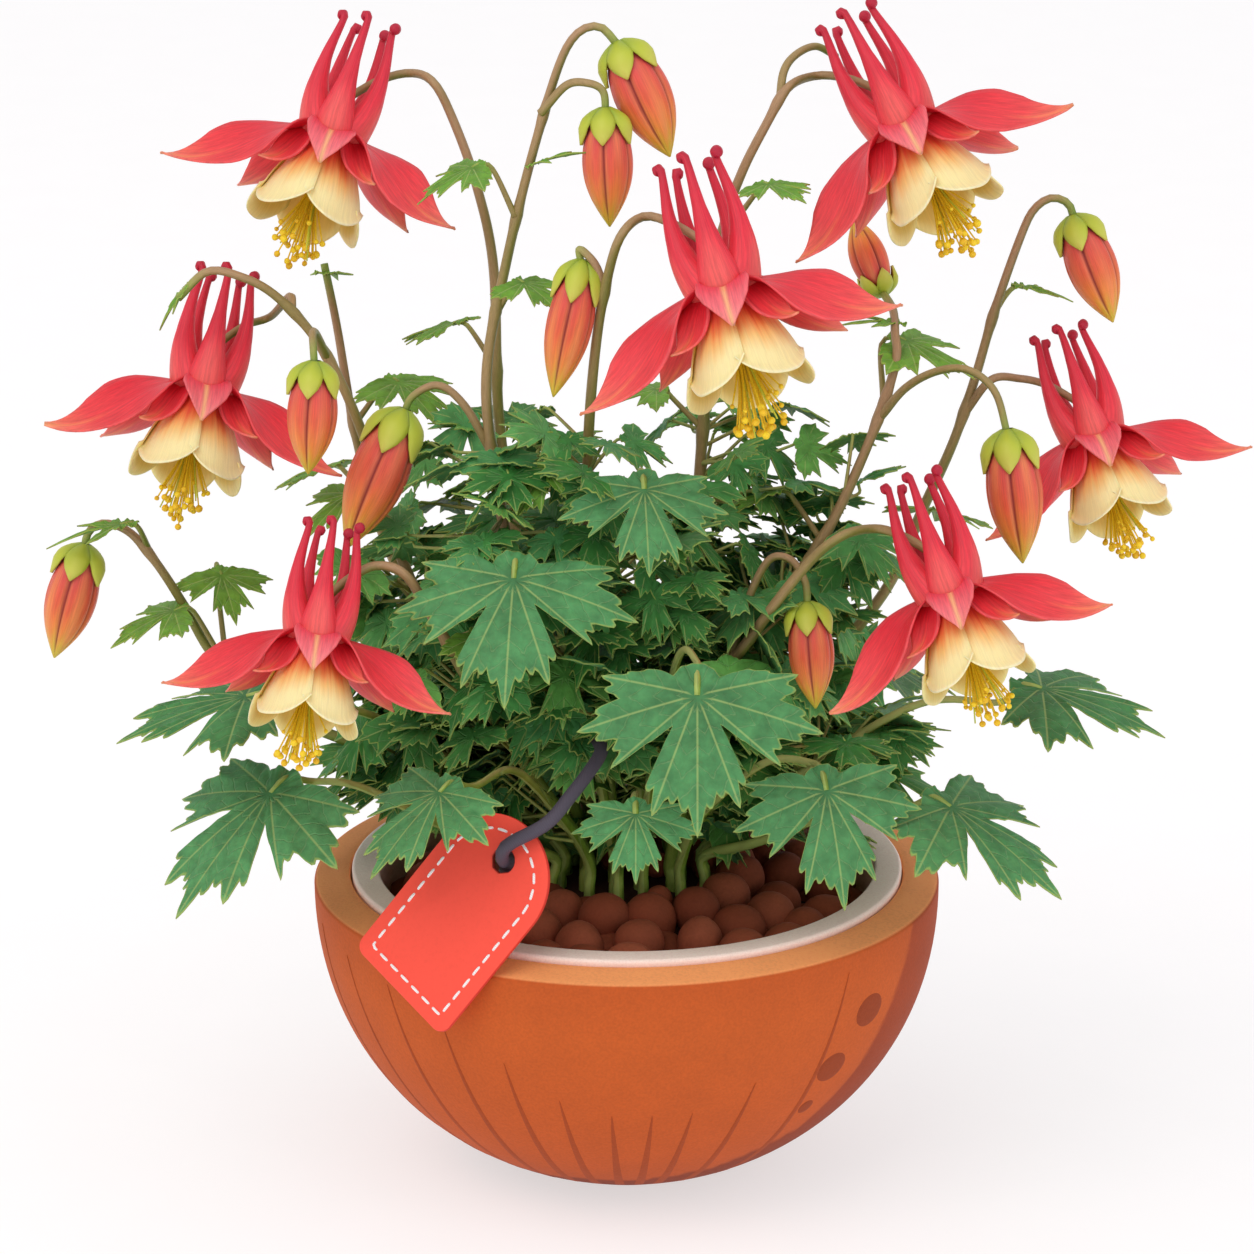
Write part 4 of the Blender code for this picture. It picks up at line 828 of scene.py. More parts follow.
flowering_stem(
    "stem_side_left",
    [(-30, 2, 88), (-60, 16, 96), (-88, 20, 107), (-101, 20, 120), (-108, 18, 134), (-114, 16, 145),
     (-120, 15, 153), (-126, 15, 155.5), (-130, 15, 153.5), in_cap("far_left")],
    leaves=[
        ((-116, 16, 149), (-122, 10, 157), 19, -75, 5, BRACT_HALF, 3),
        ((-98, 20, 117), (-110, 14, 134), 17, -70, 15, SMALL_HALF, 4),
        ((-98, 20, 117), (-99, 24, 140), 15, 20, 25, SMALL_HALF, 4),
    ],
    caps=("far_left",),
)
flowering_stem(
    "stem_tall_left",
    [(-30, 32, 100), (-50, 44, 122), (-61, 46, 145), (-67, 46, 170), (-71, 47, 196), (-74, 48, 212)],
    leaves=[
        ((-67, 46, 172), (-56, 42, 184), 18, 40, 15, SMALL_HALF, 4),
        ((-63, 46, 152), (-74, 52, 160), 18, -130, 20, SMALL_HALF, 4),
        (None, (-74, 48, 210), 15, 170, 10, BRACT_HALF, 0),
    ],
)


# Crown leaves: the large leaves on long stalks that arch out from the crown, all round the plant, blue-green
# in front and painted a little darker green at the sides and the back, as painted shade.
def crown_leaf(name, via, *leaves, colour=BLUE_GREEN):
    """One piece: the first leaf on a stalk from the crown, the others on side stalks that leave it."""
    (centre, size, heading, droop), others = leaves[0], leaves[1:]
    blade, tip, up = leaf(centre, size, heading, droop, half=BIG_HALF, colour=colour, fine=1.6, rings=11)
    path = rooted(name, via)
    parts = [blade, leaf_stalk(path[0], centre, size, tip, up, 8.0, FOOT_RADIUS * 0.85, 0.75, via=path[1:])]
    WALKED.append(smooth_path(path, 40))
    for start, centre, size, heading, droop in others:
        blade, tip, up = leaf(centre, size, heading, droop, colour=colour, rings=9)
        parts += [blade, leaf_stalk(start, centre, size, tip, up, 5.0, 0.95, 0.6)]
    add_piece(name + "_blade", parts, made_leaf, "green_leaf", name)


crown_leaf("leaf_front", [(6, -22, 105), (12, -42, 140)], ((16, -64, 138), 32, 0, 58))
crown_leaf("leaf_front_left", [(-14, -24, 92), (-26, -42, 112)], ((-43, -62, 114), 25, -50, 30))
crown_leaf("leaf_front_right", [(18, -24, 95), (32, -42, 114)], ((46, -58, 113), 27, 20, 55))
crown_leaf("leaf_middle_left", [(-10, -20, 120), (-20, -32, 155)], ((-26, -48, 161), 32, -5, 40))
crown_leaf("leaf_middle", [(4, -14, 130), (4, -26, 172)], ((4, -40, 180), 22, 5, 45))
crown_leaf("leaf_small_front", [(-1, -28, 88), (1, -48, 105)], ((2, -60, 108), 17, 0, 50))
crown_leaf("leaf_left", [(-34, -2, 95), (-62, -12, 116)], ((-90, -22, 124), 33, -82, 8), colour=SHADED_GREEN)
crown_leaf("leaf_low_left", [(-34, -16, 84), (-62, -26, 102)], ((-84, -34, 104), 36, -50, 32))
crown_leaf("leaf_right", [(36, -10, 96), (68, -18, 120)], ((98, -22, 126), 32, 75, 8), colour=SHADED_GREEN)
crown_leaf("leaf_low_right", [(32, -18, 86), (56, -30, 100)], ((76, -38, 102), 33, 60, 22))
crown_leaf(
    "leaf_back_left", [(-32, 22, 92), (-52, 32, 112)], ((-68, 42, 118), 32, -140, 25),
    ((-40, 24, 100), (-52, 56, 106), 24, -160, 35), colour=SHADED_GREEN,
)
crown_leaf(
    "leaf_back", [(-4, 30, 110), (-6, 46, 140)], ((-8, 60, 146), 32, 178, 40),
    ((-4, 32, 116), (22, 44, 130), 22, 130, 25), ((-3, 26, 100), (-12, 64, 100), 24, -175, 35),
    colour=SHADED_GREEN,
)
crown_leaf(
    "leaf_back_right", [(24, 28, 92), (42, 44, 108)], ((58, 58, 110), 32, 140, 30),
    ((26, 30, 95), (28, 62, 98), 22, 170, 35), colour=SHADED_GREEN,
)

# Inner foliage: the dense small leaves between the stems, in mixed greens. Each grows on a thin stalk from a
# stem or a leaf's stalk, outwards and up, clear of the bells and of the pebbles in front.
FOLIAGE_PIECES = 6
LEAVES_A_PIECE = 110
BELL_ROOM = 13.0
INNER_GREENS = (("478A45", SMALL_HALF), ("417F3C", SMALL_HALF), ("4E9052", BIG_HALF), ("5E9C48", SMALL_HALF),
                ("3A7A36", BIG_HALF), ("569650", BIG_HALF))
chance = np.random.default_rng(5)
walked = np.vstack(WALKED)
inside_plant = (np.abs(walked[:, 0]) < 56) & (walked[:, 1] > -30)
walked = walked[inside_plant & (walked[:, 2] > 84) & (walked[:, 2] < 184)]
bells = [bloom_frame(*place)([(0, 0, -14)])[0] for place in BLOOMS.values()]
inner = []
while len(inner) < FOLIAGE_PIECES * LEAVES_A_PIECE:
    start = walked[chance.integers(len(walked))]
    turn = np.degrees(np.arctan2(start[0], -start[1])) + chance.normal(0, 70)
    far = chance.uniform(6, 26)
    centre = start + (far * sin(radians(turn)), -far * cos(radians(turn)), chance.uniform(-2, 14))
    size = chance.uniform(12, 19) * (1.15 - 0.35 * (centre[2] - 85) / 90)
    near_bell = min(np.linalg.norm(centre - bell) for bell in bells) < BELL_ROOM + size
    wide = np.hypot(centre[0] / 68, centre[1] / 52) > 1 - 0.3 * max(0, centre[2] - 155) / 40
    over_pebbles = centre[1] < -8 and centre[2] < 104 + 0.5 * size
    if near_bell or wide or over_pebbles or centre[1] < -38 or centre[2] > 192:
        continue
    colour, half = INNER_GREENS[chance.integers(len(INNER_GREENS))]
    droop, roll = chance.uniform(-20, 55), chance.uniform(-30, 30)
    blade, tip, up = leaf(centre, size, turn, droop, roll, half, colour, 4.6, 3)
    root = stalk([start, start + (0.2, 0.1, 1.5)], 0.6, 0.4, 3, sides=5)
    inner.append((blade, leaf_stalk(start, centre, size, tip, up, 3.0, 0.5, 0.35), root))
for k in range(FOLIAGE_PIECES):
    leaves = inner[k * LEAVES_A_PIECE : (k + 1) * LEAVES_A_PIECE]
    add_piece("inner_foliage_%d" % k, [part for parts in leaves for part in parts], made_leaf, "green_leaf")

# Blooms: five crimson trumpet spurs with a hooked knob stand up from a small heart. Five arched red sepals
# spread from it, with two slim folded ones in front, over a bell of five cream blades and a brush of yellow
# stamens.
SPUR_LENGTH = 31.0
SPUR_SIDES = 22
SPURS = (0, 72, 144, -144, -72)
FRONT_SEPAL_TURN = 2
SEPALS = ((-70, 34, 46, 15, -48), (68, 30, 45, 15, 48), (-142, 22, 37, 14, 0), (140, 20, 37, 14, 0),
          (FRONT_SEPAL_TURN, 52, 20, 12.6, 0))
SLIM_SEPALS = ((-52, 46, 24, 8.2, -40), (50, 42, 24, 8.2, 40))
BELL_TOP = -2.3
BELL_DEPTH = 23.5
BELL_BLADES = (36, 108, 180, -108, -36)
SEPAL_REDS = ((0, "D51A2E"), (0.35, "E2283A"), (0.7, "EA4449"), (0.9, "F2705F"), (1, "F6A27F"))
FRONT_SEPAL_REDS = ((0, "E03048"), (0.4, "EA4F60"), (0.75, "F07078"), (1, "F2928A"))
SPUR_REDS = ((0, "EC5556"), (0.1, "E83F4A"), (0.35, "E22C40"), (0.8, "D2223C"), (0.93, "C41C38"),
             (1, "B81D3A"))
# The last stop, the palest cream at the very lip, is a painted highlight along the rim.
BELL_CREAMS = ((0, "DE2E2C"), (0.2, "EA5433"), (0.34, "F28A48"), (0.5, "F8C377"), (0.7, "FBE5A6"),
               (0.94, "FAE8A8"), (1, "FFF4C8"))
BELL_INNER_CREAMS = ((0, "C9902E"), (0.4, "E3BB4A"), (0.8, "EED070"), (1, "F8E7A0"))
SEPAL_THICK = 0.5
PETAL_THICK = 0.36
STAMENS = 38
BRUSH_RADIUS = 6.8


def blade(at, thick, tint, low_tint, run):
    """A thin closed wall on a (rows, columns, 3) grid, thick across, with its own tint on either face."""
    facing = np.cross(np.gradient(at, axis=1), np.gradient(at, axis=0))
    facing /= np.linalg.norm(facing, axis=-1)[..., None] + 1e-9
    ring = np.concatenate([at + facing * thick / 2, (at - facing * thick / 2)[:, ::-1]], axis=1)
    tint, low_tint, run = (np.broadcast_to(layer, at.shape) for layer in (tint, low_tint, run))
    both = np.concatenate([tint, low_tint[:, ::-1]], axis=1)
    at, tint, run, faces = patch(ring, both, np.concatenate([run, run[:, ::-1]], axis=1))
    i, last = np.arange(ring.shape[1] // 2 - 1), ring.shape[1] - 1
    first_end = np.stack([i + 1, i, last - i, last - 1 - i], axis=-1)
    far_end = np.stack([i, i + 1, last - 1 - i, last - i], axis=-1) + len(at) - ring.shape[1]
    return at, tint, run, np.vstack([faces, first_end, far_end])


def sepal(angle, droop, length, width, roll, rows=26, columns=13):
    """A pointed oval blade, cupped across. Its midline leaves the heart level, dives and levels out again at
    the tip, except the front one's, which arches ever more downwards; roll turns its face to the front."""
    a = radians(angle)
    out, cross_way = np.array([sin(a), -cos(a), 0]), np.array([cos(a), sin(a), 0])
    hanging = angle == FRONT_SEPAL_TURN
    t = np.linspace(0, 1, 61)
    slope = radians(droop) * (1.75 * t if hanging else 0.12 + 1.2 * np.sin(pi * t))
    reach = 1.5 + np.concatenate([[0], np.cumsum(np.cos(slope[1:]))]) * length / 60
    fall = np.concatenate([[0], np.cumsum(np.sin(slope[1:]))]) * length / 60
    v = np.linspace(0, 1, rows) ** 0.95
    reach, fall, slope = (np.interp(v, t, line)[:, None, None] for line in (reach, fall, slope))
    u = np.linspace(1, -1, columns)[None, :, None]
    v = v[:, None, None]
    stops = (0, 0.12, 0.3, 0.48, 0.65, 0.8, 0.92, 1), (0.36, 0.62, 0.93, 1.0, 0.84, 0.52, 0.21, 0.02)
    half = width / 2 * np.interp(v, *stops)
    turn = radians(roll) * step(v, 0.0, 0.65)
    up = out * np.sin(slope) + np.array([0, 0, 1]) * np.cos(slope)
    side = cross_way * np.cos(turn) + up * np.sin(turn)
    face = up * np.cos(turn) - cross_way * np.sin(turn)
    phase = chance.uniform(0, 6, 3)
    cup = 0.24 * half * u**2 + 0.035 * width * u**2 * np.sin(9 * v + phase[0] + 2 * np.sign(u))
    crease = -0.3 * np.exp(-((half * u / 0.7) ** 2)) * (1 - v)
    middle = out * reach - np.array([0, 0, 1]) * (fall - 0.6)
    at = middle + side * half * u + face * (cup + crease)
    share = (v + 0.05 * np.sin(u * 13 + phase[1]) * (1 - v))[..., 0]
    if hanging:
        tint = colour_at(share, FRONT_SEPAL_REDS)
        rib = np.exp(-((half * u / 0.55) ** 2)) * step(v, 0.15, 0.45)
        tint = blend(tint, "F8C583", 0.75 * rib)
    else:
        tint = colour_at(share, SEPAL_REDS)
        rib = np.exp(-((half * u / 0.45) ** 2)) * step(v, 0.55, 0.85)
        tint = blend(tint, "F59A5C", 0.5 * rib)
    rim = step(np.abs(u), 0.9, 1.0)
    tint = blend(tint, "F4696B", 0.35 * rim)
    run = np.concatenate(np.broadcast_arrays(half * u, v * length, np.full_like(v, angle / 30.0)), axis=-1)
    # Painted shade: the lower face is a slightly darker copy of the upper one.
    return blade(at, SEPAL_THICK, tint, tint * 0.92, run)


def spur(angle):
    """A trumpet: rings along the centre line, wide and flattened at the heart, slim above, hooked to a round
    knob."""
    a = radians(angle)
    out, side = np.array([sin(a), -cos(a), 0]), np.array([cos(a), sin(a), 0])
    hook = out * cos(angle + 0.7) * 0.7 + side * 0.7
    neck = out * 6.8 + np.array([0, 0, SPUR_LENGTH - 1.6])
    line = smooth_path([out * 4.2 + (0, 0, -1.2), out * 7.2 + (0, 0, 8), out * 8.0 + (0, 0, 18), neck,
                        neck + (0, 0, 1.1) - hook * 1.1, neck + (0, 0, 0.9) - hook * 2.4], 46)
    t = np.linspace(0, 1, 46)
    stops = (0, 0.05, 0.12, 0.28, 0.42, 0.58, 0.75, 0.9, 0.93, 0.955, 0.98, 1)
    radii = np.interp(t, stops, (4.4, 5.4, 4.9, 3.4, 2.4, 1.6, 1.15, 0.9, 0.95, 1.45, 1.5, 0.75))
    at, facing = tube(line, radii, SPUR_SIDES, 0.0)
    flat = 1 - 0.22 * (1 - step(t, 0, 0.35))[:, None]
    away = at - line[:, None, :]
    at = at - out * ((away @ out) * (1 - flat))[..., None]
    q = np.arange(SPUR_SIDES) * 2 * pi / SPUR_SIDES
    share = t[:, None] + 0.03 * np.sin(3 * q + angle)
    tint = colour_at(share, SPUR_REDS)
    # Painted highlight: a pale pink sheen on the outward face of each spur's lower part.
    spur_highlight = step(facing @ out, 0.55, 1.0) * (1 - step(t, 0.1, 0.45))[:, None]
    tint = blend(tint, "F27D72", 0.5 * spur_highlight[..., None])
    layers = 3.5 * np.cos(q), (t * 34)[:, None], 3.5 * np.sin(q) + angle / 20.0
    run = np.stack(np.broadcast_arrays(*layers), axis=-1)
    return patch(at, tint, run, ends=(True, True))


def bell_blade(angle):
    """One cream blade of the bell: an arched tongue, red-orange at its root, with a flared, rippled, rounded
    lip."""
    v = np.linspace(0, 1, 22)[:, None]
    u = np.linspace(1, -1, 19)[None, :]
    phase = chance.uniform(0, 6, 3)
    depth = BELL_DEPTH * v * (1 - 0.26 * np.abs(u) ** 2.4 * v)
    radius = 5.6 + 7.2 * np.sin(v * pi / 2 * 0.9) + 1.0 * v - 0.8 * v * u**2
    radius = radius + 1.0 * step(v, 0.82, 1.0) ** 2 + 0.3 * np.sin(5 * u + phase[0]) * v**3 + 0.45 * u
    radius = radius - 0.25 * np.exp(-((u / 0.1) ** 2)) * (1 - v)
    q = radians(angle) + radians(41) * u
    height = BELL_TOP - depth + 0.5 * step(v, 0.93, 1.0)
    at = np.stack([radius * np.sin(q), -radius * np.cos(q), height], axis=-1)
    streak = 0.5 * np.sin(9 * u + phase[1]) + 0.5 * np.sin(23 * u + phase[2])
    share = v + 0.13 * streak * (1 - v) - 0.1 * (1 - u**2) * (1 - v)
    tint, inner = colour_at(share, BELL_CREAMS), colour_at(share, BELL_INNER_CREAMS)
    run = np.stack(np.broadcast_arrays(9 * u, v * 20, np.float64(angle / 15)), axis=-1)
    return blade(at, PETAL_THICK, tint, inner, run)


def stamens():
    """A brush of thin yellow threads about a slim column, each ending in a small round anther."""
    parts = []
    column = smooth_path([(0, 0, -1.4), (0, 0, -12), (0, 0, -22)], 8)
    at, _ = tube(column, np.linspace(1.9, 1.1, 8), 12)
    parts.append(patch(at, rgb("DDBB25"), ends=(True, True)))
    for k in range(STAMENS):
        around = k * 2.4 + chance.uniform(-0.2, 0.2)
        spread = BRUSH_RADIUS * sqrt((k + 0.5) / STAMENS)
        long = chance.uniform(0, 1) < 0.62
        deep = -36.8 + 0.85 * spread + chance.uniform(-1.5, 3.0) if long else chance.uniform(-31, -25)
        end = np.array([spread * cos(around), spread * sin(around), deep])
        root = np.array([1.1 * cos(around), 1.1 * sin(around), -14.0])
        bend = (root + end) / 2 - (0.16 * spread * cos(around), 0.16 * spread * sin(around), -0.6)
        at, _ = tube(smooth_path([root, bend, end], 7), np.linspace(0.27, 0.2, 7), 5, 0)
        green = k % 9 == 4
        parts.append(patch(at, rgb("C9CE3C" if green else "F2CB1E"), ends=(True, True)))
        if not green:
            size = chance.uniform(0.72, 1.02) if long else chance.uniform(0.5, 0.7)
            parts.append(ball(end, size, 9, 7, rgb("F8D322" if k % 3 else "EDBE18")))
    return parts


def placed(parts, to_frame):
    """The patches with their points carried to a frame."""
    return [(to_frame(p[0]), *p[1:]) for p in parts]


def petal_material(name, roughness, depth):
    """Petal skin that reads the mesh's tint, with fine streaks that run along it and a soft waxy light."""
    made, tree, shader = new_material(name, Roughness=roughness, Subsurface_Weight=0.12,
                                      Subsurface_Scale=0.002, Specular_IOR_Level=0.38)
    run = add_node(tree, "Attribute", attribute_name="run").outputs["Vector"]
    stretched = add_node(tree, "VectorMath", {0: run, 1: (1.0, 0.07, 1.0)}, operation="MULTIPLY")
    streaks = add_node(tree, "TexNoise", {"Vector": stretched, "Scale": 1.7, "Detail": 5.0, "Roughness": 0.7})
    shade_by(tree, shader, streaks, 0.32, 0.68, 1 - depth, 1 + depth, 0.35, 0.0004)
    return made


red_skin = petal_material("sepal_red_streaked", 0.42, 0.2)
cream_skin = petal_material("petal_cream_streaked", 0.45, 0.08)
made_stamen, tree, shader = new_material("stamen_yellow_powdery", Roughness=0.6, Subsurface_Weight=0.1,
                                         Subsurface_Scale=0.001)
here = add_node(tree, "TexCoord").outputs["Object"]
pollen = add_node(tree, "TexNoise", {"Vector": here, "Scale": 3000.0, "Detail": 2.0})
shade_by(tree, shader, pollen, 0.3, 0.7, 0.88, 1.1, 0.3, 0.0002)
chance = np.random.default_rng(23)
heart_profile = np.array([(0.8, -1.4), (4.8, -1.2), (5.4, 0.0), (4.4, 1.6), (3.0, 2.9), (1.2, 3.5)])
for name, place in BLOOMS.items():
    to_frame = bloom_frame(*place)
    heart = turned(heart_profile, 30, 0.0)
    red = [patch(heart, rgb("CF2436"), ends=(True, True))]
    red += [spur(angle) for angle in SPURS]
    red += [sepal(*row) for row in SEPALS] + [sepal(*row, rows=18, columns=9) for row in SLIM_SEPALS]
    add_piece("sepals_" + name, placed(red, to_frame), red_skin, "red_sepal", "bloom_" + name)
    bell = [bell_blade(angle) for angle in BELL_BLADES]
    add_piece("bell_" + name, placed(bell, to_frame), cream_skin, "cream_petal", "petals_" + name)
    add_piece("brush_" + name, placed(stamens(), to_frame), made_stamen, "yellow_stamen", "stamens_" + name)

# Buds: closed drops of five swollen red and orange panels that meet in grooves, yellow at the tip, under
# the cap that their stem carries. The grooves are painted dark, as painted shade, and a pale line beside each
# is a painted highlight.
PANEL = 2 * pi / 5
BUD_SIDES = 60
BUD_REDS = ((0, "D0405A"), (0.2, "DB4D4A"), (0.5, "E4603E"), (0.72, "EA8A3C"), (0.88, "DDB13A"),
            (1, "CFC03E"))


def bud(top, tip, width):
    """A drop along +z: its radius swells and narrows to a point, and dips in five grooves."""
    length = (Vector(tip) - Vector(top)).length
    v = np.linspace(0, 1, 36)[:, None]
    q = (np.arange(BUD_SIDES) * 2 * pi / BUD_SIDES)[None, :]
    stops = (0, 0.1, 0.22, 0.4, 0.58, 0.74, 0.87, 0.95, 1), (0.42, 0.72, 0.9, 1.0, 0.93, 0.7, 0.4, 0.18, 0.03)
    line = smooth_path(np.stack(stops, axis=1), 90)
    radius = width / 2 * np.interp(v, *line.T)
    off = np.abs((q / PANEL) % 1 - 0.5)
    groove = np.exp(-((off / 0.055) ** 2)) * step(v, 0.02, 0.15) * (1 - 0.6 * step(v, 0.85, 1))
    radius = radius * (1 - 0.17 * groove - 0.05 * (1 - 2 * off)) * 1.04
    z = 1.8 + (length - 1.8) * v
    at = np.stack(np.broadcast_arrays(radius * np.cos(q), radius * np.sin(q), z), axis=-1)
    phase = chance.uniform(0, 6, 2)
    share = v + 0.04 * np.sin(10 * q + phase[0])
    panel = colour_at(share, BUD_REDS)
    warm = step(off, 0.22, 0.5) * (1 - step(v, 0.75, 0.95)) * (0.45 + 0.25 * np.sin(5 * v + phase[1]))
    tint = blend(panel, "F2975A", warm[..., None])
    # Painted highlight: a pale line along each panel's edge, beside the groove.
    edge = (np.exp(-((off - 0.11) ** 2) / 0.0012) * 0.35 * (1 - step(v, 0.8, 1)))[..., None]
    tint = blend(tint, "F3B070", edge)
    # Painted shade: the grooves are darkened.
    tint = blend(tint, "8E1F25", (0.85 * groove * (1 - 0.5 * step(v, 0.8, 1)))[..., None])
    run = np.stack(np.broadcast_arrays(off * width, v * length, np.floor(q / PANEL) * 3 + phase[0]), axis=-1)
    return patch(drop_frame(top, tip)(at), tint, run, ends=(True, True))


bud_skin = petal_material("bud_red_streaked", 0.4, 0.14)
for name, row in BUDS.items():
    add_piece("closed_bud_" + name, [bud(*row)], bud_skin, "bud_skin", "bud_" + name)

# Tag: a stiff red card with one round end, cut with a soft edge, punched for its cord and stitched all round
# with white thread. It is blank, and leans on the bowl's rim.
TAG_LENGTH = 50.0
TAG_WIDTH = 31.4
TAG_THICK = 1.6
TAG_CORNER = 3.0
TAG_HOLE = 5.8
TAG_TURN = radians(28)
TAG_STEEP = radians(68)
TAG_ROLL = radians(31.7)
TAG_UP_RIM = 21.5
TAG_HOLE_OUT = 6.0
HOLE_ROUND = 0.3
SHARP_EDGE = radians(40)
STITCH_INSET = 3.5
STITCH_LENGTH = 2.5
STITCH_STEP = 3.75
across = np.array([cos(TAG_TURN), -sin(TAG_TURN), 0])
upward = np.array([sin(TAG_TURN) * cos(TAG_STEEP), cos(TAG_TURN) * cos(TAG_STEEP), sin(TAG_STEEP)])
facing = np.cross(across, upward)
touch = np.array([-BOWL_RADIUS * sin(TAG_TURN), -BOWL_RADIUS * cos(TAG_TURN), BOWL_TOP])
tag_long = cos(TAG_ROLL) * upward + sin(TAG_ROLL) * across
tag_wide = cos(TAG_ROLL) * across - sin(TAG_ROLL) * upward
tag_round = touch + facing * 0.35 + upward * TAG_UP_RIM + across * 0.5
tag_frame = basis(tag_round, tag_wide, tag_long, facing)


def tag_outline(inset, steps=41):
    """The card's edge, moved in, clockwise as its face shows it."""
    half, foot = TAG_WIDTH / 2, TAG_WIDTH / 2 - TAG_LENGTH
    small = max(TAG_CORNER - inset, 0.6)
    line = np.vstack([
        arc(0, 0, half - inset, 0, 180, steps),
        arc(-half + inset + small, foot + inset + small, small, 180, 270, 9),
        arc(half - inset - small, foot + inset + small, small, 270, 360, 9),
    ])
    return line[::-1]


edge = tag_outline(0)
toward = edge - (0, TAG_HOLE_OUT)
toward = toward / np.linalg.norm(toward, axis=1)[:, None]
levels = []
hole_edge = TAG_HOLE / 2 + HOLE_ROUND
for radius, z in ((TAG_HOLE / 2, HOLE_ROUND), (TAG_HOLE / 2, TAG_THICK - HOLE_ROUND), (hole_edge, TAG_THICK)):
    levels.append(np.column_stack([toward * radius + (0, TAG_HOLE_OUT), np.full(len(edge), z)]))
EDGE_STEPS = ((0.5, 0), (0.12, 0.12), (0, 0.4))
for inset, z in [(i, TAG_THICK - z) for i, z in EDGE_STEPS] + list(EDGE_STEPS[::-1]):
    levels.append(np.column_stack([tag_outline(inset), np.full(len(edge), z)]))
levels.append(np.column_stack([toward * hole_edge + (0, TAG_HOLE_OUT), np.zeros(len(edge))]))
levels.append(levels[0])
card_at = np.array(levels)
card_tint = np.empty_like(card_at)
card_tint[:] = rgb("FF5543")
# Painted shade: the punched hole's wall is dark, and the card's cut edge and back rounding a darker red.
card_tint[[0, 1, 10]] = rgb("8E2A1E")
card_tint[[5, 6, 7]] = rgb("DB3B2E")
card, tree, shader = new_material("card_red_matt", Roughness=0.62, Specular_IOR_Level=0.3)
here = add_node(tree, "TexCoord").outputs["Object"]
fibres = add_node(tree, "TexNoise", {"Vector": here, "Scale": 900.0, "Detail": 6.0, "Roughness": 0.7})
shade_by(tree, shader, fibres, 0.3, 0.7, 0.955, 1.045, 0.15, 0.0002)
plate = patch(tag_frame(card_at), card_tint)
seam = plate[3].copy()
seam[seam >= (len(levels) - 1) * len(edge)] -= (len(levels) - 1) * len(edge)
tag = add_piece("tag_card", [(*[a[: -len(edge)] for a in plate[:3]], seam)], card, "red_card", "tag")
tag.data.set_sharp_from_angle(angle=SHARP_EDGE)

stitch_line = tag_outline(STITCH_INSET, 61)
stitch_line = np.vstack([stitch_line, stitch_line[:1]])
along = lengths_along(stitch_line)
stitches = []
number = int(along[-1] // STITCH_STEP)
for k in range(number):
    middle = (k + 0.5) * along[-1] / number
    spot = middle + STITCH_LENGTH * np.array([-0.5, -0.44, -0.2, 0.2, 0.44, 0.5])
    flat = np.stack([np.interp(spot, along, stitch_line[:, i]) for i in (0, 1)], axis=1)
    for z, lean in ((TAG_THICK, 1), (0, -1)):
        rise = z + lean * np.array([-0.12, 0.03, 0.1, 0.1, 0.03, -0.12])
        at, _ = tube(tag_frame(np.column_stack([flat, rise])), [0.16, 0.3, 0.34, 0.34, 0.3, 0.16], 8, 0)
        stitches.append(patch(at, rgb("FFFFFF"), ends=(True, True)))
thread, tree, shader = new_material("stitch_thread_white", Roughness=0.7)
here = add_node(tree, "TexCoord").outputs["Object"]
twist = add_node(tree, "TexWave", {"Vector": here, "Scale": 900.0, "Distortion": 1.0},
                 bands_direction="DIAGONAL")
tone = add_node(tree, "ValToRGB", {0: twist}, ((0.0, "EDE9E6"), (1.0, "FFFFFF")))
link(tree, tone, shader, "Base Color")
bump = add_node(tree, "Bump", {"Height": twist.outputs[1], "Strength": 0.2, "Distance": 0.0001})
link(tree, bump, shader, "Normal")
stitching = add_piece("tag_stitching", stitches, thread, "red_card")

# Cord: a smooth dark grey round cord, from a turn round a leaf's stalk near the crown, in an arch to the tag,
# through its hole and into a knot behind it.
CORD_DIAMETER = 3.2
KNOT_SIZE = 0.85
TURN_RADIUS = 3.1
TURN_HEIGHT = 119
CARRYING_STALK = [(-10, -20, 120), (-20, -32, 155)]
tag_hole = tag_frame([(0, TAG_HOLE_OUT, TAG_THICK / 2)])[0]
CORD_ROUTE = [
    tag_hole - facing * 6.0 - tag_long * 1.0,
    tag_hole - facing * 2.6,
    tag_hole + facing * 1.4 + tag_long * 0.3,
    tag_hole + facing * 4.4 + tag_long * 4.4,
    (-18.5, -64.5, 107.0),
    (-13.0, -59.5, 112.0),
    (-8.5, -53.0, 116.0),
    (-6.0, -44.0, 117.5),
    (-7.0, -34.0, 117.0),
    (-10.3, -23.6, 119.0),
]
cord_grey, tree, shader = new_material("cord_grey_woven", Roughness=0.6, Specular_IOR_Level=0.4)
run = add_node(tree, "Attribute", attribute_name="run").outputs["Vector"]
weave = add_node(tree, "TexWave", {"Vector": run, "Scale": 1.1, "Distortion": 0.6, "Detail": 1.0},
                 bands_direction="DIAGONAL")
shade_by(tree, shader, weave.outputs[1], 0.0, 1.0, 0.86, 1.12, 0.25, 0.0003)


def cord_tube(path, sides=16):
    """The cord's surface along a path, with the run vector its weave follows."""
    at, out = tube(path, np.full(len(path), CORD_DIAMETER / 2), sides, 0)
    along = lengths_along(path)
    q = np.arange(sides) * 2 * pi / sides
    run = np.stack(np.broadcast_arrays(1.6 * np.cos(q), along[:, None], 1.6 * np.sin(q)), axis=-1)
    return patch(at, rgb("4D4653"), run, ends=(True, True))


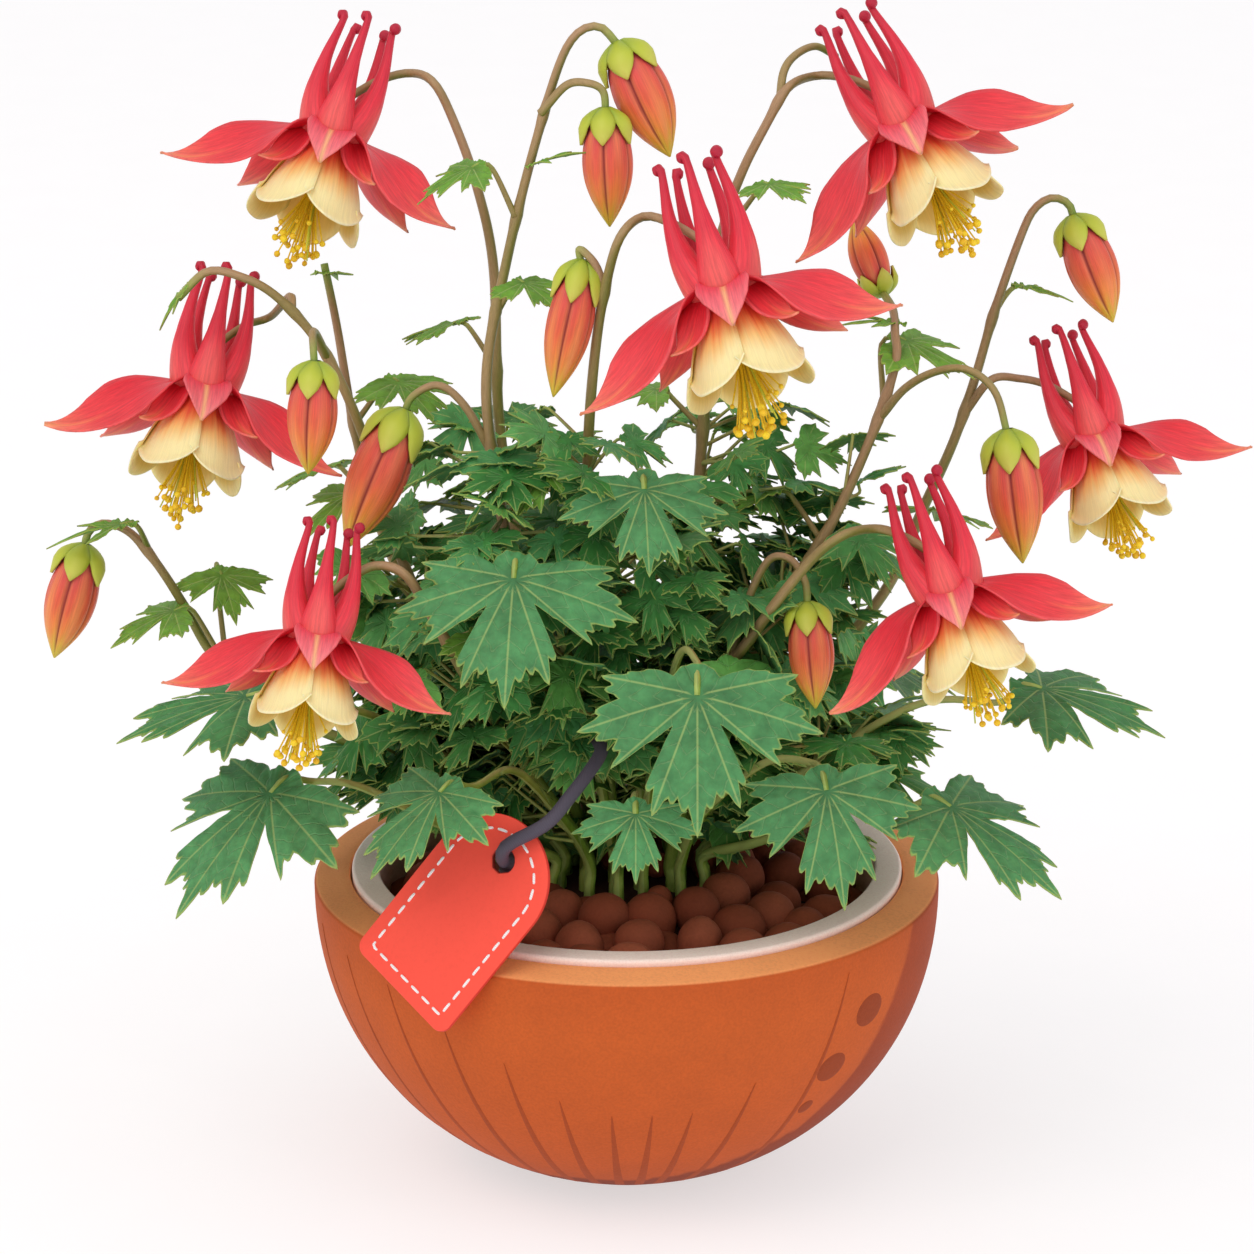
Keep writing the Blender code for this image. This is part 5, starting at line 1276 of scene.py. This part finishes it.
cord_path = smooth_path(CORD_ROUTE, 36)[::-1]
cord = add_piece("cord_run", [cord_tube(cord_path)], cord_grey, "grey_cord", "cord")
q = np.linspace(0, 2 * pi, 60)
trefoil = [np.sin(q) + 2 * np.sin(2 * q), np.cos(q) - 2 * np.cos(2 * q), -np.sin(3 * q)]
loops = np.stack(trefoil, axis=1) * KNOT_SIZE
knot_frame = basis(CORD_ROUTE[0] + facing * 0.8, tag_wide, tag_long, facing)
knot = add_piece("cord_knot", [cord_tube(knot_frame(loops))], cord_grey, "grey_cord")
stalk_axis = smooth_path(rooted("leaf_middle_left", CARRYING_STALK), 80)
near = int(np.abs(stalk_axis[:, 2] - TURN_HEIGHT).argmin())
way = stalk_axis[near + 1] - stalk_axis[near - 1]
way = way / np.linalg.norm(way)
first = np.cross(way, (1, 0, 0))
first = first / np.linalg.norm(first)
q = np.linspace(0, 3.6 * pi, 60)[:, None]
winding = stalk_axis[near] + TURN_RADIUS * (first * np.cos(q) + np.cross(way, first) * np.sin(q))
winding = winding + way * (q - 5.6) * 0.5
add_piece("cord_turns", [cord_tube(winding)], cord_grey, "grey_cord")

# Floor, light and camera: a white studio sweep, one broad soft light from the upper left and a pale surround.
# The camera looks along +Y from a little above, as the photograph does.
VIEW_DISTANCE = 1.2
VIEW_RISE = radians(17.5)
VIEW_TARGET = Vector((0, 0, 0.134))
VIEW_LENS = 143.5
VIEW_SENSOR = 36.0
FLOOR_HALF = 6000
q = np.linspace(-FLOOR_HALF, FLOOR_HALF, 9)
floor_x, floor_y = np.meshgrid(q, q)
floor_mesh = bpy.data.meshes.new("floor")
at, _, _, faces = patch(np.stack([floor_x, floor_y, 0 * floor_x], axis=-1), (1, 1, 1), loop=False)
floor_mesh.from_pydata((at * MM).tolist(), [], faces.tolist())
floor = bpy.data.objects.new("floor", floor_mesh)
bpy.context.scene.collection.objects.link(floor)
paper, tree, shader = new_material("floor_white_paper", Roughness=0.9, Specular_IOR_Level=0.1)
here = add_node(tree, "TexCoord").outputs["Object"]
grain = add_node(tree, "TexNoise", {"Vector": here, "Scale": 40.0})
tone = add_node(tree, "ValToRGB", {0: grain}, ((0.0, "B2AFB0"), (1.0, "B6B3B4")))
link(tree, tone, shader, "Base Color")
shader.inputs["Emission Color"].default_value = srgb("FFFFFF")
shader.inputs["Emission Strength"].default_value = 0.6
floor_mesh.materials.append(paper)


def area_light(name, at, size, power, colour):
    """A square soft light at a place in metres, turned to the plant."""
    lamp = bpy.data.lights.new(name, "AREA")
    lamp.size, lamp.energy, lamp.color = size, power, rgb(colour)
    made = bpy.data.objects.new(name, lamp)
    made.location = at
    made.rotation_euler = (VIEW_TARGET - Vector(at)).to_track_quat("-Z", "Y").to_euler()
    bpy.context.scene.collection.objects.link(made)


area_light("key_light", (-0.8, -1.1, 2.0), 1.7, 17.0, "FFFBF4")
area_light("fill_light", (1.6, -1.2, 0.9), 1.8, 6.0, "F3F6FF")
surround = bpy.data.worlds.new("surround")
surround.use_nodes = True
surround.node_tree.nodes["Background"].inputs["Color"].default_value = srgb("FDFDFF")
surround.node_tree.nodes["Background"].inputs["Strength"].default_value = 0.75
bpy.context.scene.world = surround
bpy.context.scene.view_settings.view_transform = "Standard"
camera_data = bpy.data.cameras.new("camera")
camera_data.lens = VIEW_LENS
camera_data.sensor_width = VIEW_SENSOR
camera = bpy.data.objects.new("camera", camera_data)
camera.location = VIEW_TARGET + VIEW_DISTANCE * Vector((0, -cos(VIEW_RISE), sin(VIEW_RISE)))
camera.rotation_euler = (VIEW_TARGET - camera.location).to_track_quat("-Z", "Y").to_euler()
bpy.context.scene.collection.objects.link(camera)
bpy.context.scene.camera = camera
